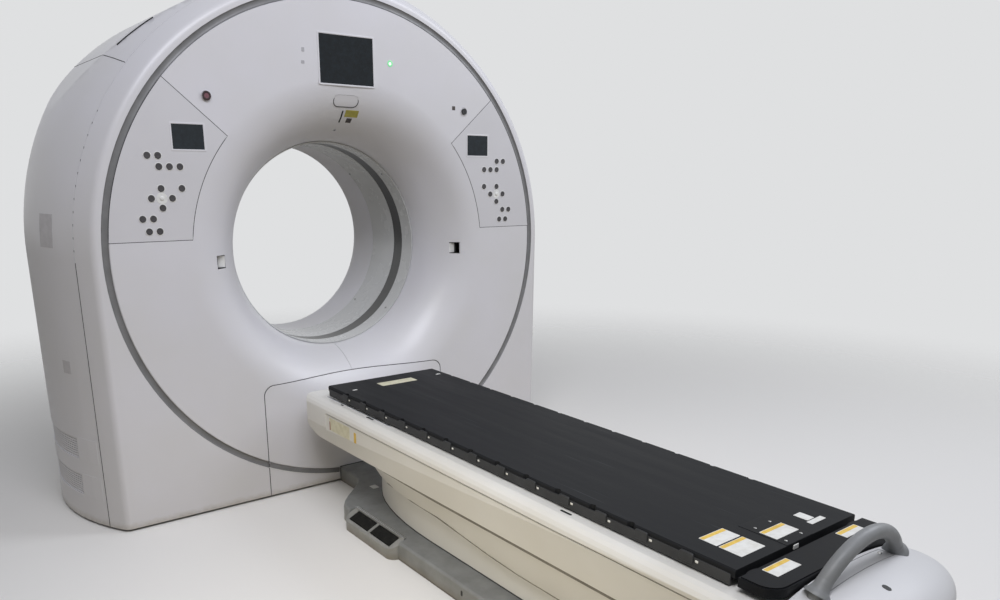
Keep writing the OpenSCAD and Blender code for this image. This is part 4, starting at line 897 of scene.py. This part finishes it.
# Couch deck: dark plates, painted shade in the hook slot openings, each with its y and length; and a
# bright strip by the gantry, a painted highlight under the tabletop's rail
DECK_SLOTS = ((-0.735, 0.018), (-0.958, 0.052), (-2.045, 0.044))
slot_shades, strips = bmesh.new(), bmesh.new()
for y, long in DECK_SLOTS:
    for side in (1, -1):
        press(slot_shades, on_top(side * 0.276, y, DECK_Z), (0.008, long, 0.004), flat_plate(0.0006))
for side in (1, -1):
    press(strips, on_top(side * 0.2665, -0.84, DECK_Z), (0.007, 0.50, 0.002), flat_plate(0.0025))
piece("deck_slot_shades", slot_shades, BLACK_AND_SHADE, "couch")
piece("deck_highlight_strips", strips, HIGHLIGHT_METAL, "couch")

# Couch sides, in painted shade: a dark line along the body's crease and one along the edge of the skirt's
# valance, and the dark strip under the body's lower edge, painted as the shadow of the gap there, which
# grows deeper away from the gantry
CREASE_Z, CREASE_R = 0.4375, 0.0020
VALANCE = [(0.1714, -0.800, 0.215), (0.2277, -1.000, 0.215), (0.2482, -1.200, 0.215),
           (0.2482, -1.350, 0.212), (0.2442, -1.500, 0.196), (0.2390, -1.650, 0.178),
           (0.2356, -1.800, 0.168), (0.2356, -2.560, 0.168)]
STRIP_X, STRIP_Z, STRIP_SOFT = 0.262, 0.3079, 0.001  # its inner side, its top and its softened edge
flank, skirt_line = bmesh.new(), bmesh.new()
for side in (1, -1):
    line = [landed("couch_body", Vector((side * 0.32, -0.69 - 0.0955 * i, CREASE_Z)), X * side)
            for i in range(21)]
    bead(flank, [p - X * side * 0.0003 for p in line], CREASE_R, X * side)
    bead(skirt_line, [Vector((side * x, y, z)) for x, y, z in VALANCE], 0.0022, X * side)
    rings = []
    for i in range(33):
        y = -1.0 - 0.05 * i
        edge = 0.304 - (-0.65 - y) * 0.0124 - 0.004
        bottom = 0.3078 - min(0.012, 0.003 + 0.0225 * (-1.0 - y))
        section = ((STRIP_X, STRIP_Z), (edge, STRIP_Z), (edge, bottom + STRIP_SOFT),
                   (edge - STRIP_SOFT, bottom), (STRIP_X, bottom))
        rings.append([Vector((side * x, y, z)) for x, z in section])
    skin(flank, rings)
piece("flank_shade_lines", flank, FLANK_SHADE, "couch")
piece("valance_shadow_lines", skirt_line, FLANK_SHADE, "couch")

# Bare plates on the couch's left side and its base, and a dark plate painted as the shade in a slot in
# the base:
# name, seat, size, steps, curved node to lie on, material and body
BODY_X, BASE_X = -0.322, -0.312
BAR_STEPS = [(0, 0.0004), (0, 0.0009), (0.0004, 0.0010)]
COUCH_PLATES = (
    ("body_plate_ivory", on_left(-0.7855, 0.4015, BODY_X), (0.168, 0.052, 0.003), flat_plate(0.0006),
     "couch_body", PLATE_IVORY, "couch"),
    ("body_plate_bar", on_left(-0.7065, 0.394, BODY_X), (0.007, 0.036, 0.001), BAR_STEPS,
     "couch_body", PLATE_BROWN, "couch"),
    ("body_plate_yellow", on_left(-0.913, 0.397, BODY_X), (0.017, 0.042, 0.002), flat_plate(0.0006),
     "couch_body", PLATE_YELLOW, "couch"),
    ("base_plate", on_top(-0.111, -0.680, BASE_Z), (0.030, 0.038, 0.002), flat_plate(0.0007),
     None, PLATE_WHITE, "stand"),
    ("base_slot_shade", on_left(-1.601, 0.040, BASE_X), (0.010, 0.020, 0.004), flat_plate(0.0008),
     None, BLACK_AND_SHADE, "stand"))
for name, seat, size, steps, onto, material, body in COUCH_PLATES:
    plate = bmesh.new()
    press(plate, seat, size, steps, onto=onto)
    piece(name, plate, material, body)

# Handle: a flared collar at each foot, given by its radius at each angle along the bent tube
ARC, ARC_R = Vector((0, -2.720, 0.408)), 0.199
TILT = Vector((0, -math.sin(math.radians(8)), math.cos(math.radians(8))))
COLLAR = ((50, 0.0176), (51, 0.0184), (53.5, 0.0190), (56, 0.0206), (58, 0.0240), (59.2, 0.0290),
          (61, 0.0310))
across = X.cross(TILT)
collars = bmesh.new()
for side in (1, -1):
    rings = []
    for deg, r in COLLAR:
        a = math.radians(deg)
        radial = X * side * math.sin(a) + TILT * math.cos(a)
        rings.append([ARC + radial * ARC_R + (radial * math.cos(b) + across * math.sin(b)) * r
                      for b in (2 * math.pi * i / 32 for i in range(32))])
    skin(collars, rings)
piece("handle_collars", collars, GRIP, "couch")

# End cap: two screws in its inset, the line round the inset, and a dark plate painted as the shade in the
# oval slot behind it
CAP_Z, INSET_Y = 0.512, -2.727
heads, slot_shades, inset = bmesh.new(), bmesh.new(), bmesh.new()
for side in (1, -1):
    seat = (landed("end_cap", Vector((side * 0.120, -2.722, CAP_Z)), Z), X, Y)
    press(heads, seat, circle(0.0055), [(0, -0.001), (0, 0.0006), (0.001, 0.0016), (0.003, 0.0020)])
piece("cap_screws", heads, SCREW, "couch")
press(slot_shades, on_top(-0.028, -2.814, 0.508), (0.015, 0.021, 0.0075), flat_plate(0.0008), onto="end_cap")
piece("cap_oval_slot_shade", slot_shades, BLACK_AND_SHADE, "couch")
outline = dense(rounded(0.290, 0.038, 0.006, 3), 0.012)
line = [landed("end_cap", Vector((x, INSET_Y + y, CAP_Z)), Z) for x, y in outline]
bead(inset, line, 0.0011, Z, closed=True)
piece("cap_inset_line", inset, INSET_LINE, "couch")


# Studio: a pale floor that fades into the backdrop, and soft light from the ceiling

FLOOR_HALF = 30
FADE_CENTRE, FADE_FROM, FADE_TO = (0, -1.2, 0), 1.8, 6.0


def studio_floor():
    """Pale to the eye and in reflections, and duller in the light that it throws back on the object."""
    mat, t, s, pos = new_material("studio_floor")
    ray = add(t, "ShaderNodeLightPath")
    seen = add(t, "ShaderNodeMath", {"operation": "MAXIMUM"}, _0=ray.outputs["Is Camera Ray"],
               _1=ray.outputs["Is Glossy Ray"])
    tone = add(t, "ShaderNodeMix", {"data_type": "RGBA"}, _0=seen, _6=linear("B4A98F"),
               _7=linear("E6E4E0"))
    add(t, s, Base_Color=tone.outputs[2], Roughness=0.6)
    away = add(t, "ShaderNodeVectorMath", {"operation": "DISTANCE"}, _0=pos, _1=FADE_CENTRE)
    fade = add(t, "ShaderNodeMapRange", {"interpolation_type": "SMOOTHSTEP"},
               Value=away.outputs["Value"], From_Min=FADE_FROM, From_Max=FADE_TO)
    far = add(t, "ShaderNodeMath", {"operation": "MULTIPLY"}, _0=fade.outputs["Result"],
              _1=ray.outputs["Is Camera Ray"])
    clear = add(t, "ShaderNodeBsdfTransparent")
    mix = add(t, "ShaderNodeMixShader", _0=far, _1=s, _2=clear)
    add(t, t.nodes["Material Output"], Surface=mix)
    me = bpy.data.meshes.new("studio_floor")
    corners = [(x * FLOOR_HALF, y * FLOOR_HALF, 0) for x, y in ((-1, -1), (1, -1), (1, 1), (-1, 1))]
    me.from_pydata(corners, [], [(0, 1, 2, 3)])
    me.materials.append(mat)
    floor = bpy.data.objects.new("studio_floor", me)
    bpy.context.scene.collection.objects.link(floor)


def studio_world():
    """A dim sky for the object's light, with a pale one in its place to the eye and in reflections."""
    world = bpy.data.worlds.new("studio_world")
    bpy.context.scene.world = world
    world.use_nodes = True
    t = world.node_tree
    t.nodes.clear()
    ray = add(t, "ShaderNodeLightPath")
    seen = add(t, "ShaderNodeMath", {"operation": "MAXIMUM"}, _0=ray.outputs["Is Camera Ray"],
               _1=ray.outputs["Is Transmission Ray"])
    seen = add(t, "ShaderNodeMath", {"operation": "MAXIMUM"}, _0=seen, _1=ray.outputs["Is Glossy Ray"])
    dim = add(t, "ShaderNodeBackground", Color=linear("F0F2F8"), Strength=0.26)
    pale = add(t, "ShaderNodeBackground", Color=linear("DFE0E1"), Strength=1.0)
    mix = add(t, "ShaderNodeMixShader", Fac=seen, _1=dim, _2=pale)
    add(t, "ShaderNodeOutputWorld", Surface=mix)


def lamp(name, place, target, size, power, tone, spread=180):
    """A rectangular lamp that faces its target; power in watts, spread in degrees."""
    light = bpy.data.lights.new(name, "AREA")
    light.shape = "RECTANGLE"
    light.size, light.size_y = size
    light.energy = power
    light.spread = math.radians(spread)
    light.color = linear(tone)[:3]
    obj = bpy.data.objects.new(name, light)
    bpy.context.scene.collection.objects.link(obj)
    obj.location = place
    obj.rotation_euler = (Vector(target) - Vector(place)).to_track_quat("-Z", "Y").to_euler()


studio_floor()
studio_world()
lamp("ceiling_panel_front", (-1.15, -3.4, 4.5), (0, -1.2, 0.6), (3.2, 1.6), 121, "F3F5FF")
lamp("ceiling_panel_right", (3.2, -2.6, 3.8), (0, 0, 0.8), (1.6, 3.0), 84, "F3F7FF")
lamp("ceiling_panel_couch", (-1.6, -2.9, 2.8), (-0.3, -1.5, 0.3), (1.2, 1.2), 4, "FFFBF2", 60)
# A gridded strip light low beside the couch, for its flank alone
lamp("couch_strip_left", (-2.6, -2.05, 0.32), (-0.3, -2.05, 0.20), (2.0, 0.4), 2.2, "FFF3D8", 50)

scene = bpy.context.scene
scene.view_settings.view_transform = "Standard"
